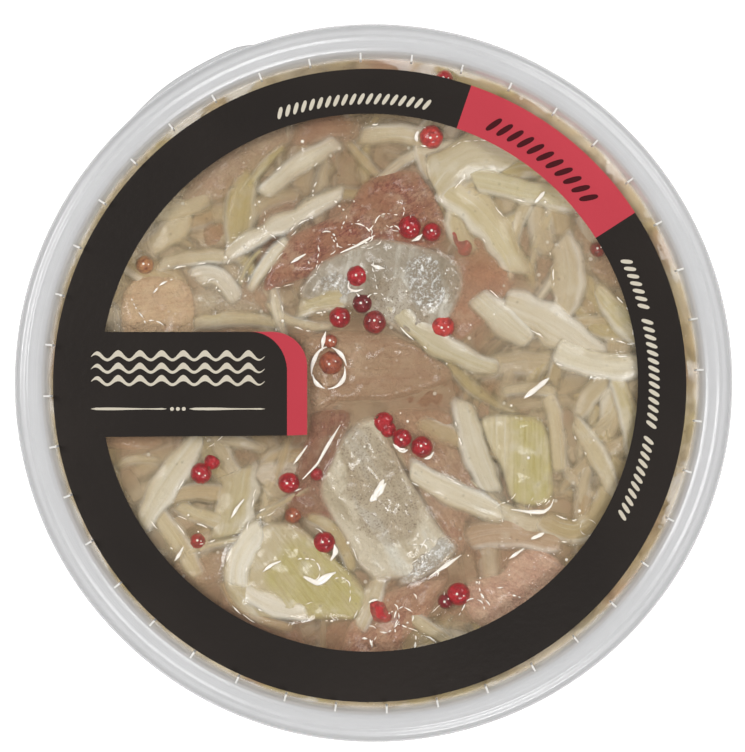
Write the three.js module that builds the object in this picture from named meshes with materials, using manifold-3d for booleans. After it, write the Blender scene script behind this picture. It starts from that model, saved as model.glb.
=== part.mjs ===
// A closed round tub of pickled herring: a clear tapered tub, a clear press-on lid with a printed
// ring on its sunk panel, and inside it the heap of herring pieces, onion strips and pink
// peppercorns. Millimetres, +Z up, origin under the middle of the foot, +Y to the top of the print.
import * as THREE from 'three';
import { mergeVertices } from 'three/addons/utils/BufferGeometryUtils.js';
import Module from 'manifold-3d';

const wasm = await Module();
wasm.setup();

// Driving dimensions
const LID_RADIUS = 66.5; // outside of the lid's skirt
const HEIGHT = 56; // from the foot to the bead on the lid's ridge
const RECESS = 4.5; // the clear panel lies this far below the bead
const SHEET = 0.8; // thickness of the lid
const WALL = 0.9; // thickness of the tub
const GAP = 0.35; // clearance between neighbouring pieces
const SKIRT = 9; // height of the lid's skirt
const PANEL_RADIUS = 59.6; // flat part of the clear panel
const BEAD_RADIUS = 63.9; // top of the fine bead on the lid's ridge
const MOUTH_RADIUS = 62.1; // inside of the tub's rim, and of the ridge over it
const NECK_RADIUS = 60.9; // inside of the tub just above its step
const WAIST_RADIUS = 58.2; // inside of the tub just below its step
const BASE_RADIUS = 51.4; // inside of the tub at its base
const FOOT_RADIUS = 51.2; // outer edge of the foot ring
const FOOT_WIDTH = 1.8;
const SHOULDER = 43; // the tub steps out at this height
const ROUND = 64; // sides of the tub and the lid
const HEAP_ROUND = 40; // sides of the heap's core

// Heights that follow from them
const PANEL_TOP = HEIGHT - RECESS;
const PANEL_UNDER = PANEL_TOP - SHEET;
const RIDGE_TOP = HEIGHT - 0.25;
const RIDGE_UNDER = RIDGE_TOP - SHEET;
const SKIRT_FOOT = HEIGHT - SKIRT;
const RIM_TOP = RIDGE_UNDER - GAP;

// The stiffening ribs in the wall of the lid's recess, and the lip that a thumb lifts
const RIB_COUNT = 40;
const RIB_START = 2.3; // degrees
const RIB_WIDTH = 0.5;
const LIP = { from: 106, full: 113, fade: 123, to: 141, reach: 1.4, thickness: 1.1 };

// The printed ring and the tab that enters it from the left
const PRINT = 0.25; // thickness
const PRINT_OUTER = { x: -0.8, y: -0.4, radius: 58.5 };
const PRINT_INNER = { x: -0.9, y: 0.2, radius: 49.7 };
const TAB = { end: -12.3, low: -9.6, high: 9.6, corner: 6.5, turn: 0.9 };

// The heap
const CORE_TOP = 45.4; // the pieces on top rise from here
const CORE_INSET = 2.4; // the core stays this far inside the wall of the tub
const HEAP_TOP = PANEL_UNDER - GAP;
const BASE_RISE = 1.4; // the base is raised this far above the foot ring
const FLOOR = BASE_RISE + WALL; // inside of the tub's base
const PEPPERCORN_HEIGHT = 48.3; // centres of the peppercorns that show
const SEED = 11;

const DEGREE = Math.PI / 180;

// Pieces of herring that show under the lid: the outline seen from above, and the height of its top
const HERRING = [
  {
    top: 48,
    outline: [[-21, 17], [-16.5, 27], [-6, 32.5], [-2, 38], [5, 40], [10, 38.5], [14, 26.5], [0, 22]],
  },
  {
    top: 48.3,
    outline: [[-14, 16], [-11, 21.5], [0.5, 27], [8.5, 26], [15, 23.5], [17, 18], [11, 9], [2, 10]],
  },
  {
    top: 47.7,
    outline: [[9, 11], [12, 8], [24, 4.5], [24, 1], [12, 4], [5, 8]],
  },
  {
    top: 47.3,
    outline: [[14, 24.5], [19, 28], [23.5, 28], [27.5, 21], [24.5, 13.5], [15, 6.5], [11, 9], [16, 17]],
  },
  {
    top: 48.4,
    outline: [[-13.5, 8.3], [-6, 10], [4, 9], [15, 2], [13.5, -0.5], [4, -3.5], [-11.5, -5.8]],
  },
  {
    top: 47.6,
    outline: [[-47, 17], [-41.5, 20.5], [-32, 18], [-22, 15.5], [-22, 12.5], [-32, 9.5], [-46, 6]],
  },
  {
    top: 46.5,
    outline: [[-36, 36], [-28, 45], [-19, 49.5], [-13.5, 47], [-23, 36.5], [-35, 32.5]],
  },
  {
    top: 46.3,
    outline: [[-17.5, 47], [-8, 52], [-3, 51.5], [-3.5, 45.5], [-14, 43]],
  },
  {
    top: 48.8,
    outline: [
      [-5.5, -9], [0.3, -6], [4, -12.5], [12.3, -26],
      [15.5, -31], [10.5, -36], [-1.5, -36], [-10.3, -20],
    ],
  },
  {
    top: 47.7,
    outline: [[2, -5], [14, -4.5], [19.5, -18], [24.5, -22], [18, -25.5], [15, -32.5], [4.5, -14]],
  },
  {
    top: 47,
    outline: [[-11.5, -5], [-4, -5], [-8, -18], [-6, -26], [-13.5, -25.5], [-17, -22]],
  },
  {
    top: 47.8,
    outline: [[18, -36.5], [25.5, -32], [30, -30], [35, -32.7], [40, -38], [31, -47.5], [20, -46]],
  },
  {
    top: 47.9,
    outline: [[-5, -44.5], [3, -38], [14, -36], [10.5, -44], [4, -52.5], [-6, -52]],
  },
  {
    top: 46.7,
    outline: [[-28, -37.5], [-19, -42.8], [-13.5, -45.5], [-11.5, -51.5], [-29, -44]],
  },
  {
    top: 46.7,
    outline: [[-52, -8], [-40, -9], [-38.5, -12], [-52, -14]],
  },
  {
    top: 46.6,
    outline: [[-44, -7], [-40, 5], [-30, 7], [-16, 4], [-15, -4], [-30, -8]],
  },
  {
    top: 46.4,
    outline: [[35.5, 29], [41, 32], [44.5, 26], [37, 23]],
  },
  {
    top: 46.9,
    outline: [[-38, -33], [-33, -30.5], [-24.5, -34], [-31, -39], [-38, -38]],
  },
];

// Strips of onion: the middle line, the greatest width and the height of the top
const ONION = [
  { line: [[-20.6, 35.6], [-13.6, 43], [-5.3, 45.4]], width: 5, top: 48.6 },
  { line: [[-28, 23.6], [-18, 29.2], [-5.3, 35.6]], width: 4.4, top: 49.4 },
  { line: [[-23.2, 16.8], [-20, 22.3], [-15.8, 27]], width: 3.4, top: 49.1 },
  { line: [[-40.4, 21.8], [-32, 23.6], [-23.7, 23.1]], width: 4, top: 48.3 },
  { line: [[-42, 25], [-37.2, 29.2], [-35, 34]], width: 6, top: 48.1 },
  { line: [[-34, 19.4], [-29.3, 19.9], [-25.2, 15]], width: 5, top: 48.8 },
  { line: [[-34, 10.7], [-26.5, 12], [-17, 11]], width: 4, top: 48.2 },
  { line: [[-14.5, 13.5], [-9.5, 14.8], [-4, 15.7]], width: 4.6, top: 48.9 },
  { line: [[-3, 45.8], [4.9, 46.4], [12.5, 44.9]], width: 4.8, top: 48.5 },
  { line: [[11, 36], [17.8, 42.1], [27, 41]], width: 9, top: 49 },
  { line: [[18, 37.8], [27.1, 36], [38, 33.6]], width: 5.6, top: 48.8 },
  { line: [[16, 35], [23.4, 28.6], [27.8, 21]], width: 4.6, top: 48.5 },
  { line: [[34.8, 27.5], [36.3, 19], [34.6, 11.6]], width: 7.8, top: 48.2 },
  { line: [[19, 16.6], [24.3, 11.6], [29.5, 7.6]], width: 6.4, top: 48.7 },
  { line: [[24, 15.2], [33.5, 10.7], [42.5, 3.6]], width: 5.4, top: 48.3 },
  { line: [[33.5, 6.4], [41.8, 3.3], [51, 3.3]], width: 5.8, top: 49 },
  { line: [[44.6, 2], [47.7, -6.8], [48.3, -15]], width: 5, top: 48.5 },
  { line: [[41, 18], [46.5, 11.6], [50.4, 7]], width: 5.6, top: 48.4 },
  { line: [[37, -6.6], [41.5, -13.3], [45.4, -22]], width: 4.8, top: 48.6 },
  { line: [[32.4, -1.6], [34.1, -8.7], [34.6, -17]], width: 4.2, top: 48.2 },
  { line: [[25.8, -4.6], [29.3, -14.2], [30, -24]], width: 10, top: 48.9 },
  { line: [[16.7, -2.8], [18.2, -10.5], [22.2, -20.6]], width: 5.8, top: 49 },
  { line: [[-27, -34], [-16, -31.5], [-2, -41]], width: 17, top: 49.3 },
  { line: [[-27.2, -34.6], [-22.4, -41], [-13.6, -43.6]], width: 4, top: 49.2 },
  { line: [[1.6, -35.2], [-0.3, -40], [-2.8, -46]], width: 4.6, top: 48.6 },
  { line: [[6, -43], [10.8, -46], [16, -49.5]], width: 3.8, top: 48.5 },
  { line: [[-31.8, -9.4], [-38, -17.9], [-43.2, -27]], width: 6.4, top: 49 },
  { line: [[-24.4, -15.4], [-25.6, -22.5], [-27.2, -29]], width: 8.4, top: 48.7 },
  { line: [[-41, -23.4], [-36.1, -29.9], [-32.6, -36.4]], width: 5, top: 48.3 },
  { line: [[17, -29.6], [25.2, -28.1], [35.4, -30.2]], width: 6.6, top: 47.9 },
  { line: [[31, -25], [39.1, -27.2], [44.2, -19]], width: 5.8, top: 48.4 },
  { line: [[6.4, -15.6], [14.5, -20.3], [24.2, -24.4]], width: 5.4, top: 49.3 },
];

// Peppercorns: place and radius
const PEPPERCORNS = [
  [10.8, 45.8, 2.2], [6.7, 29, 2.2], [10.8, 28.1, 1.8], [-3, 19.9, 2], [-2.1, 14.8, 1.9],
  [-6.3, 12.2, 2], [0.2, 11.3, 2.2], [12.9, 10.5, 2.2], [-8, 3.7, 2.2], [5.3, -10.3, 1.8],
  [9, -11.9, 2], [-32.1, -16.8, 2], [-15.8, -18.6, 2], [-9.2, -29.7, 2.1], [15.8, -39.3, 2.2],
  [1.2, -42.5, 1.9], [-42.6, 22, 1.7],
];

// Materials
const clear = new THREE.MeshStandardMaterial({ color: 0xd9dbdb, roughness: 0.2 });
const ink = new THREE.MeshStandardMaterial({ color: 0x2e2a27, roughness: 0.5 });
const food = new THREE.MeshStandardMaterial({ color: 0xb9a184, roughness: 0.4 });

// Geometry to solid and back

function solid(geometry) {
  geometry.deleteAttribute('normal');
  geometry.deleteAttribute('uv');
  const merged = mergeVertices(geometry, 1e-4);
  const index = merged.index.array;
  const triangles = [];
  for (let i = 0; i < index.length; i += 3) {
    const [a, b, c] = index.subarray(i, i + 3);
    if (a !== b && b !== c && c !== a) {
      triangles.push(a, b, c);
    }
  }
  const mesh = new wasm.Mesh({
    numProp: 3,
    vertProperties: new Float32Array(merged.attributes.position.array),
    triVerts: new Uint32Array(triangles),
  });
  mesh.merge();
  return new wasm.Manifold(mesh);
}

function node(name, body, material) {
  const mesh = body.getMesh();
  const geometry = new THREE.BufferGeometry();
  geometry.setAttribute('position', new THREE.BufferAttribute(mesh.vertProperties, 3));
  geometry.setIndex(new THREE.BufferAttribute(mesh.triVerts, 1));
  geometry.computeVertexNormals();
  const result = new THREE.Mesh(geometry, material);
  result.name = name;
  return result;
}

// A solid turned round the Z axis from a profile of [radius, height], going up its outside
function turned(profile, sides = ROUND) {
  const points = profile.map(([radius, height]) => new THREE.Vector2(radius, height));
  const geometry = new THREE.LatheGeometry(points, sides);
  geometry.rotateX(Math.PI / 2);
  return solid(geometry);
}

// A flat shape of the given thickness, lying with its underside at a height
function plate(shape, under, thickness, curveSegments = 12) {
  const geometry = new THREE.ExtrudeGeometry(shape, { depth: thickness, bevelEnabled: false, curveSegments });
  geometry.translate(0, 0, under);
  return solid(geometry);
}

// The tub

function tub() {
  const inner = [
    [MOUTH_RADIUS, RIM_TOP],
    [NECK_RADIUS, SHOULDER + 1.7],
    [WAIST_RADIUS, SHOULDER],
    [BASE_RADIUS, FLOOR + 0.6],
    [BASE_RADIUS - 0.6, FLOOR],
    [0, FLOOR],
  ];
  const flange = LID_RADIUS - SHEET - 0.45;
  const outer = [
    [0, BASE_RISE],
    [FOOT_RADIUS - FOOT_WIDTH - 0.6, BASE_RISE],
    [FOOT_RADIUS - FOOT_WIDTH, 0],
    [FOOT_RADIUS, 0],
    [FOOT_RADIUS + 1, WALL],
    [WAIST_RADIUS + WALL, SHOULDER - 0.4],
    [NECK_RADIUS + 0.8, SHOULDER + 1.2],
    [MOUTH_RADIUS + 0.6, RIM_TOP - 1.2],
    [flange - 0.85, RIM_TOP - 1.2],
    [flange - 0.75, RIM_TOP - 4],
    [flange, RIM_TOP - 4],
    [flange, RIM_TOP - 0.4],
    [flange - 0.4, RIM_TOP],
  ];
  return turned([...outer, ...inner]);
}

// The lid, with its ridge over the tub's rim, its sunk panel, its ribs and its lip

function lidShell() {
  const skirtInside = LID_RADIUS - SHEET;
  return turned([
    [0, PANEL_UNDER],
    [PANEL_RADIUS + 0.4, PANEL_UNDER],
    [PANEL_RADIUS + 0.7, PANEL_UNDER + 0.2],
    [MOUTH_RADIUS - 0.5, RIDGE_UNDER - 0.25],
    [MOUTH_RADIUS, RIDGE_UNDER],
    [skirtInside - 0.5, RIDGE_UNDER],
    [skirtInside - 0.1, RIDGE_UNDER - 0.5],
    [skirtInside, SKIRT_FOOT],
    [LID_RADIUS, SKIRT_FOOT],
    [LID_RADIUS - 0.1, RIDGE_TOP - 1.2],
    [LID_RADIUS - 0.5, RIDGE_TOP - 0.4],
    [LID_RADIUS - 1.3, RIDGE_TOP],
    [BEAD_RADIUS + 0.5, RIDGE_TOP],
    [BEAD_RADIUS, HEIGHT],
    [BEAD_RADIUS - 0.5, RIDGE_TOP],
    [MOUTH_RADIUS, RIDGE_TOP],
    [MOUTH_RADIUS - 0.8, RIDGE_TOP - 0.2],
    [MOUTH_RADIUS - 1.3, RIDGE_TOP - 0.8],
    [PANEL_RADIUS, PANEL_TOP],
    [0, PANEL_TOP],
  ]);
}

function ribs() {
  const height = RIDGE_TOP - 0.6 - PANEL_TOP;
  const length = 1.5;
  return Array.from({ length: RIB_COUNT }, (_, i) => {
    const rib = new THREE.BoxGeometry(length, RIB_WIDTH, height + 0.3);
    rib.translate(PANEL_RADIUS + 0.1 + length / 2, 0, PANEL_TOP + height / 2 - 0.15);
    rib.rotateZ((RIB_START + (i * 360) / RIB_COUNT) * DEGREE);
    return solid(rib);
  });
}

function lip() {
  const rise = (angle) => {
    const up = THREE.MathUtils.smoothstep(angle, LIP.from, LIP.full);
    const down = 1 - THREE.MathUtils.smoothstep(angle, LIP.fade, LIP.to);
    return LIP.reach * Math.min(up, down);
  };
  const at = (radius, angle) =>
    new THREE.Vector2(radius * Math.cos(angle * DEGREE), radius * Math.sin(angle * DEGREE));
  const steps = 14;
  const angles = Array.from({ length: steps + 1 }, (_, i) => LIP.from + ((LIP.to - LIP.from) * i) / steps);
  const outside = angles.map((angle) => at(LID_RADIUS - 0.3 + rise(angle), angle));
  const inside = angles.map((angle) => at(LID_RADIUS - SHEET / 2 - 0.2, angle)).reverse();
  return plate(new THREE.Shape([...outside, ...inside]), SKIRT_FOOT, LIP.thickness);
}

function lid() {
  return wasm.Manifold.union([lidShell(), ...ribs(), lip()]);
}

// The print: a ring, and the tab with one round corner

function lidPrint() {
  const under = PANEL_TOP + GAP;
  const ring = new THREE.Shape();
  ring.absarc(PRINT_OUTER.x, PRINT_OUTER.y, PRINT_OUTER.radius, 0, Math.PI * 2);
  const hole = new THREE.Path();
  hole.absarc(PRINT_INNER.x, PRINT_INNER.y, PRINT_INNER.radius, 0, Math.PI * 2);
  ring.holes.push(hole);

  const start = PRINT_OUTER.x - PRINT_INNER.radius - 2;
  const tab = new THREE.Shape();
  tab.moveTo(start, TAB.low);
  tab.lineTo(TAB.end, TAB.low);
  tab.lineTo(TAB.end, TAB.high - TAB.corner);
  tab.absarc(TAB.end - TAB.corner, TAB.high - TAB.corner, TAB.corner, 0, Math.PI / 2);
  tab.lineTo(start, TAB.high);
  const tabGeometry = new THREE.ExtrudeGeometry(tab, { depth: PRINT, bevelEnabled: false, curveSegments: 5 });
  tabGeometry.rotateZ(TAB.turn * DEGREE);
  tabGeometry.translate(0, 0, under);
  return plate(ring, under, PRINT, ROUND * 0.75).add(solid(tabGeometry));
}

// The heap

function seeded(seed) {
  let state = seed;
  return () => {
    state = (state + 0x6d2b79f5) | 0;
    let mixed = Math.imul(state ^ (state >>> 15), 1 | state);
    mixed = (mixed + Math.imul(mixed ^ (mixed >>> 7), 61 | mixed)) ^ mixed;
    return ((mixed ^ (mixed >>> 14)) >>> 0) / 4294967296;
  };
}

// The inside of the tub, less a margin from its walls
function space(margin, top) {
  const profile = [
    [0, FLOOR + GAP],
    [BASE_RADIUS - 0.3 - margin, FLOOR + GAP],
    [WAIST_RADIUS - margin, SHOULDER + 0.1],
    [NECK_RADIUS - margin, SHOULDER + 1.9],
    [MOUTH_RADIUS - 0.6 - margin, top],
    [0, top],
  ];
  return turned(profile, HEAP_ROUND);
}

// A soft-edged piece with the given outline, from the core up to its top
function piece(outline, top, round = 0.9) {
  const depth = top - CORE_TOP + 1.2;
  const geometry = new THREE.ExtrudeGeometry(new THREE.Shape(outline), {
    depth: depth - 2 * round,
    bevelThickness: round,
    bevelSize: round,
    bevelOffset: -round,
    bevelSegments: 1,
  });
  geometry.translate(0, 0, top - depth + round);
  return geometry;
}

function herringPiece({ outline, top }) {
  const points = outline.map(([x, y]) => new THREE.Vector3(x, y, 0));
  const curve = new THREE.CatmullRomCurve3(points, true, 'catmullrom', 0.4);
  const sides = outline.length + 3;
  const smooth = curve.getSpacedPoints(sides).slice(0, sides);
  return solid(piece(smooth.map((p) => new THREE.Vector2(p.x, p.y)).reverse(), top));
}

// A strip that is widest in its middle and narrows to blunt ends
function onionStrip({ line, width, top }) {
  const [a, b, c] = line.map(([x, y]) => new THREE.Vector2(x, y));
  const through = b.clone().multiplyScalar(2).sub(a.clone().add(c).multiplyScalar(0.5));
  const curve = new THREE.QuadraticBezierCurve(a, through, c);
  const steps = 4;
  const edge = (side) =>
    Array.from({ length: steps + 1 }, (_, i) => {
      const t = i / steps;
      const half = (width / 2) * (0.35 + 0.65 * Math.sin(Math.PI * t));
      const along = curve.getTangent(t);
      return curve.getPoint(t).add(new THREE.Vector2(-along.y, along.x).multiplyScalar(side * half));
    });
  return solid(piece([...edge(-1), ...edge(1).reverse()], top, 0.6));
}

function peppercorn([x, y, radius]) {
  const ball = new THREE.SphereGeometry(radius, 7, 4);
  ball.rotateX(Math.PI / 2);
  ball.translate(x, y, PEPPERCORN_HEIGHT);
  return solid(ball);
}

// Pieces under the printed ring, which show at its edge and through the upper wall
function ringPieces(random) {
  const count = 12;
  return Array.from({ length: count }, (_, i) => {
    const angle = ((i + 0.5 * random()) * 360) / count;
    const half = 7 + 3 * random();
    const radius = 54 + 3 * random();
    const line = [-half, 0, half].map((step) => {
      const turn = (angle + step) * DEGREE;
      return [radius * Math.cos(turn), radius * Math.sin(turn)];
    });
    return onionStrip({ line, width: 6 + 4 * random(), top: 47.4 + 1.4 * random() });
  });
}

// Slabs of herring that lie against the clear wall
function wallPieces(random) {
  const rows = [11, 24, 36.5];
  const perRow = 5;
  const wallSlope = (WAIST_RADIUS - BASE_RADIUS) / SHOULDER;
  return rows.flatMap((height, row) =>
    Array.from({ length: perRow }, (_, i) => {
      const slab = new THREE.BoxGeometry(7, 20 + 8 * random(), 9 + 3 * random());
      slab.rotateX((random() - 0.5) * 0.9);
      slab.translate(BASE_RADIUS - 0.8 + wallSlope * height, 0, height);
      slab.rotateZ(((i + 0.5 * (row % 2) + 0.3 * random()) * 2 * Math.PI) / perRow);
      return solid(slab);
    }),
  );
}

function heap() {
  const random = seeded(SEED);
  const pieces = wasm.Manifold.union([
    space(CORE_INSET, CORE_TOP),
    ...HERRING.map(herringPiece),
    ...ONION.map(onionStrip),
    ...PEPPERCORNS.map(peppercorn),
    ...ringPieces(random),
    ...wallPieces(random),
  ]);
  const fitted = pieces.intersect(space(GAP, HEAP_TOP));
  const parts = fitted.decompose().sort((a, b) => b.volume() - a.volume());
  return parts[0];
}

const part = new THREE.Group();
part.add(
  node('tub', tub(), clear),
  node('lid', lid(), clear),
  node('lid_print', lidPrint(), ink),
  node('herring_heap', heap(), food),
);

export default part;
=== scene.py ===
import math
import random

import bpy
import numpy as np
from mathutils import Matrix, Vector
from mathutils.geometry import delaunay_2d_cdt


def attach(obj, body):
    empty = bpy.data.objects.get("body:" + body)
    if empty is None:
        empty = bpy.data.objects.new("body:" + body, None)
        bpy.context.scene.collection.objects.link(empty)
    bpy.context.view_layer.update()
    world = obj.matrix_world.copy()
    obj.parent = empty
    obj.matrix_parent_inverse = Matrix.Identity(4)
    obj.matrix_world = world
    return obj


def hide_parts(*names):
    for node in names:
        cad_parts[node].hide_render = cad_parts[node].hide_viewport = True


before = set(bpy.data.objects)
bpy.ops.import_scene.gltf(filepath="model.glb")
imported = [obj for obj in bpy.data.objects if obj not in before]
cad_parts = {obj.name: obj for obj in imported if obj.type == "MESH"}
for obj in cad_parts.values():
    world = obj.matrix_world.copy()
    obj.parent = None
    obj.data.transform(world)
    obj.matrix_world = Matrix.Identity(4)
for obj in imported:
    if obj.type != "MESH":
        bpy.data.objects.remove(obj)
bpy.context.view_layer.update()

# A closed clear tub of pickled herring, seen from straight above. Lengths are in millimetres until a mesh
# is made, +Z is up and +Y points to the top of the print.
MM = 0.001
ROUND = 288  # sides of the lid and the tub

# Heights
FLOOR = 2.3  # of the tub, inside
SHOULDER, STEP_TOP = 43.0, 44.7  # between them the wall widens
TUB_TOP = 54.6
PANEL_UNDER, PANEL_TOP = 50.7, 51.5  # the two sides of the lid's sunken panel
LID_FOOT = 47
CORE_TOP = 45.6
BRINE_LEVEL = 49.2
PIECE_LIMIT = 50.25  # nothing in the tub rises higher than this

WALL_HEIGHTS = [FLOOR, SHOULDER, STEP_TOP, TUB_TOP]
WALL_RADII = [51.3, 58.2, 60.9, 62.1]  # inside of the tub at those heights
WALL_GAP = 0.5  # between the wall and the food
BRINE_SIDES, BRINE_RINGS = 330, 130  # of the mesh of its surface
BRINE_OVERLAP = 0.25  # how far it reaches into the plastic, so that no gap shows
EDGE_SPAN = 3.0  # a piece's mask rises from 0 at its edge to 1 this far in
SEEDS = 400  # each piece's grain starts at a place of its own up to this far along


def tone(red, green, blue):
    """The linear colour of one that is given as it looks on screen, 0 to 255."""
    return tuple(((c / 255 + 0.055) / 1.055) ** 2.4 for c in (red, green, blue))


def wall_radius(height):
    """The radius of the tub, inside, at a height."""
    return np.interp(height, WALL_HEIGHTS, WALL_RADII)


def rotated(x, y, turn):
    return x * math.cos(turn) - y * math.sin(turn), x * math.sin(turn) + y * math.cos(turn)


def polar(radius, turn):
    return radius * math.cos(turn), radius * math.sin(turn)


# Node trees

class Value:
    """A number in a node tree, whose sums and products are nodes of their own."""

    def __init__(self, paint, socket):
        self.paint, self.socket = paint, socket

    def __add__(self, other):
        return self.paint.math("ADD", self, other)

    def __sub__(self, other):
        return self.paint.math("SUBTRACT", self, other)

    def __rsub__(self, other):
        return self.paint.math("SUBTRACT", other, self)

    def __mul__(self, other):
        return self.paint.math("MULTIPLY", self, other)

    def __truediv__(self, other):
        return self.paint.math("DIVIDE", self, other)

    def __abs__(self):
        return self.paint.math("ABSOLUTE", self)

    def ramp(self, low, high, start=0.0, end=1.0):
        """From start to end with soft ends, as this number goes from low to high."""
        inputs = {"Value": self, "From Min": low, "From Max": high, "To Min": start, "To Max": end}
        return self.paint.number("MapRange", inputs, interpolation_type="SMOOTHSTEP")


class Paint:
    """One material's node tree, put together call by call."""

    def __init__(self, name, **constants):
        self.material = bpy.data.materials.new(name)
        self.material.use_nodes = True
        self.tree = self.material.node_tree
        self.wire(**constants)

    def wire(self, **sockets):
        shader = self.tree.nodes["Principled BSDF"]
        for key, value in sockets.items():
            self.set(shader.inputs[key.replace("_", " ")], value)

    def set(self, socket, value):
        if isinstance(value, Value):
            value = value.socket
        if isinstance(value, bpy.types.NodeSocket):
            self.tree.links.new(value, socket)
        elif socket.type == "RGBA" and len(value) == 3:
            socket.default_value = (*value, 1)
        else:
            socket.default_value = value

    def add(self, kind, inputs, **settings):
        node = self.tree.nodes.new("ShaderNode" + kind)
        for key, value in settings.items():
            setattr(node, key, value)
        for key, value in inputs.items():
            self.set(node.inputs[key], value)
        return node

    def number(self, kind, inputs, **settings):
        return Value(self, self.add(kind, inputs, **settings).outputs[0])

    def math(self, operation, a, b=0.0):
        return self.number("Math", {0: a, 1: b}, operation=operation)

    def split(self, vector):
        return [Value(self, output) for output in self.add("SeparateXYZ", {0: vector}).outputs]

    def attribute(self, name, output="Vector"):
        return self.add("Attribute", {}, attribute_name=name).outputs[output]

    def place(self):
        return self.add("TexCoord", {}).outputs["Object"]

    def noise(self, vector, scale, detail=3.0, rough=0.55, stretch=None):
        if stretch:
            vector = self.add("Mapping", {"Vector": vector, "Scale": stretch}).outputs[0]
        inputs = {"Vector": vector, "Scale": scale, "Detail": detail, "Roughness": rough}
        return self.number("TexNoise", inputs)

    def specks(self, vector, scale, size, share):
        """Small round marks, 0 to 1: one in some of the cells of a loose grid."""
        cell = self.add("TexVoronoi", {"Vector": vector, "Scale": scale})
        near = Value(self, cell.outputs["Distance"]).ramp(size, size * 0.5)
        return near * self.math("LESS_THAN", self.split(cell.outputs["Color"])[0], share)

    def mix(self, factor, a, b, blend="MIX"):
        node = self.add("Mix", {}, data_type="RGBA", blend_type=blend, clamp_factor=True)
        for index, value in ((0, factor), (6, a), (7, b)):
            self.set(node.inputs[index], value)
        return node.outputs[2]

    def darker(self, colour, share):
        """The colour with each of its three parts cut down to a share."""
        return self.mix(1.0, colour, share, "MULTIPLY")

    def bump(self, height, distance):
        return self.add("Bump", {"Height": height, "Distance": distance}).outputs[0]

    def food(self):
        """What each point of a piece of food has: tint, place in its grain, and the mask's three numbers."""
        return self.attribute("tint", "Color"), self.attribute("grain"), *self.split(self.attribute("mask"))

    def wet(self, colour, relief, depth, deep, veil=0.6):
        """Set the colour and relief of food, which loses its colour to the brine where it lies deep."""
        colour = self.mix(deep * veil, colour, tone(180, 150, 114))
        self.wire(Base_Color=colour, Normal=self.bump(relief, depth))

    def soften_edge(self, edge, deep, narrow):
        """Let thin wet edges show what is under them, more so deep in the brine."""
        wide = 0.8
        solid = (edge / deep.ramp(0.0, 0.5, narrow, wide)).ramp(0.0, 1.0, 0.12, 1.0)
        inner_side = Value(self, self.add("NewGeometry", {}).outputs["Backfacing"])
        self.wire(Alpha=solid * (1.0 - inner_side))


def flesh_paint():
    paint = Paint("herring_flesh_paint", Roughness=0.4, Coat_Weight=0.35, Coat_Roughness=0.12, IOR=1.36)
    tint, grain, edge, red, deep = paint.food()
    fibres = paint.noise(grain, 1.0, 5.0, 0.6, stretch=(0.2, 0.9, 1.0))
    colour = paint.mix(fibres.ramp(0.35, 0.75, 0.0, 0.6), tint, paint.darker(tint, (0.78, 0.64, 0.58)))
    cloud = paint.noise(grain, 0.14)
    colour = paint.mix(cloud.ramp(0.48, 0.7, 0.0, 0.55), colour, tone(206, 178, 146))
    blush = paint.noise(grain, 0.3)
    colour = paint.mix(blush.ramp(0.46, 0.62) * (red * 0.6), colour, tone(168, 96, 78))
    lines = paint.noise(grain, 0.8, 5.0, 0.7, stretch=(0.5, 1.0, 1.0))
    thin = abs(lines - 0.5).ramp(0.07, 0.0) * blush.ramp(0.38, 0.56)
    colour = paint.mix(thin * red, colour, tone(112, 42, 34))
    fat = paint.specks(grain, 0.9, 0.3, 0.16)
    colour = paint.mix(fat * 0.55, colour, tone(226, 206, 186))
    paint.wet(colour, fibres * 0.5 + paint.noise(grain, 1.3, 4.0), 0.0008, deep)
    paint.soften_edge(edge, deep, 0.25)
    return paint.material


def skin_paint():
    paint = Paint("herring_skin_paint", Roughness=0.34, Coat_Weight=0.5, Coat_Roughness=0.1, IOR=1.4)
    tint, grain, edge, mark, deep = paint.food()
    cloud = paint.noise(grain, 0.2, 4.0, stretch=(0.3, 1.0, 1.0))
    colour = paint.mix(cloud.ramp(0.5, 0.68, 0.0, 0.75), tint, paint.darker(tint, (0.68, 0.63, 0.54)))
    colour = paint.mix(cloud.ramp(0.47, 0.34, 0.0, 0.75), colour, tone(222, 217, 202))
    uneven = (paint.noise(grain, 0.45, 4.0, 0.65) - 0.5) * 1.8
    spark = (mark + uneven).ramp(0.3, 0.8) * mark.ramp(0.0, 0.25)
    dusk = (uneven - mark).ramp(0.25, 0.8) * mark.ramp(0.0, -0.25)
    grit = paint.specks(grain, 2.3, 0.42, 0.55) + paint.specks(grain, 3.7, 0.42, 0.4)
    colour = paint.mix(dusk * 0.5, colour, tone(160, 140, 112))
    colour = paint.mix(dusk * (grit * 0.55), colour, tone(104, 82, 60))
    # Painted highlights: where the skin glitters, its ground is darkened and near-white flakes are painted
    # over it
    colour = paint.mix(spark * 0.55, colour, tone(146, 131, 110))
    coarse = paint.noise(grain, 1.0, 5.0, 0.75).ramp(0.5, 0.6)
    fine = paint.noise(grain, 2.2, 3.0, 0.7).ramp(0.52, 0.62, 0.0, 0.5)
    flakes = paint.math("MAXIMUM", coarse, fine) * spark
    colour = paint.mix(flakes, colour, tone(250, 248, 242))
    colour = paint.mix(edge.ramp(0.5, 0.0, 0.0, 0.7), colour, tone(204, 184, 156))
    paint.wet(colour, paint.noise(grain, 1.2, 4.0) + flakes * 0.12, 0.0006, deep)
    paint.soften_edge(edge, deep, 0.4)
    return paint.material


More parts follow.
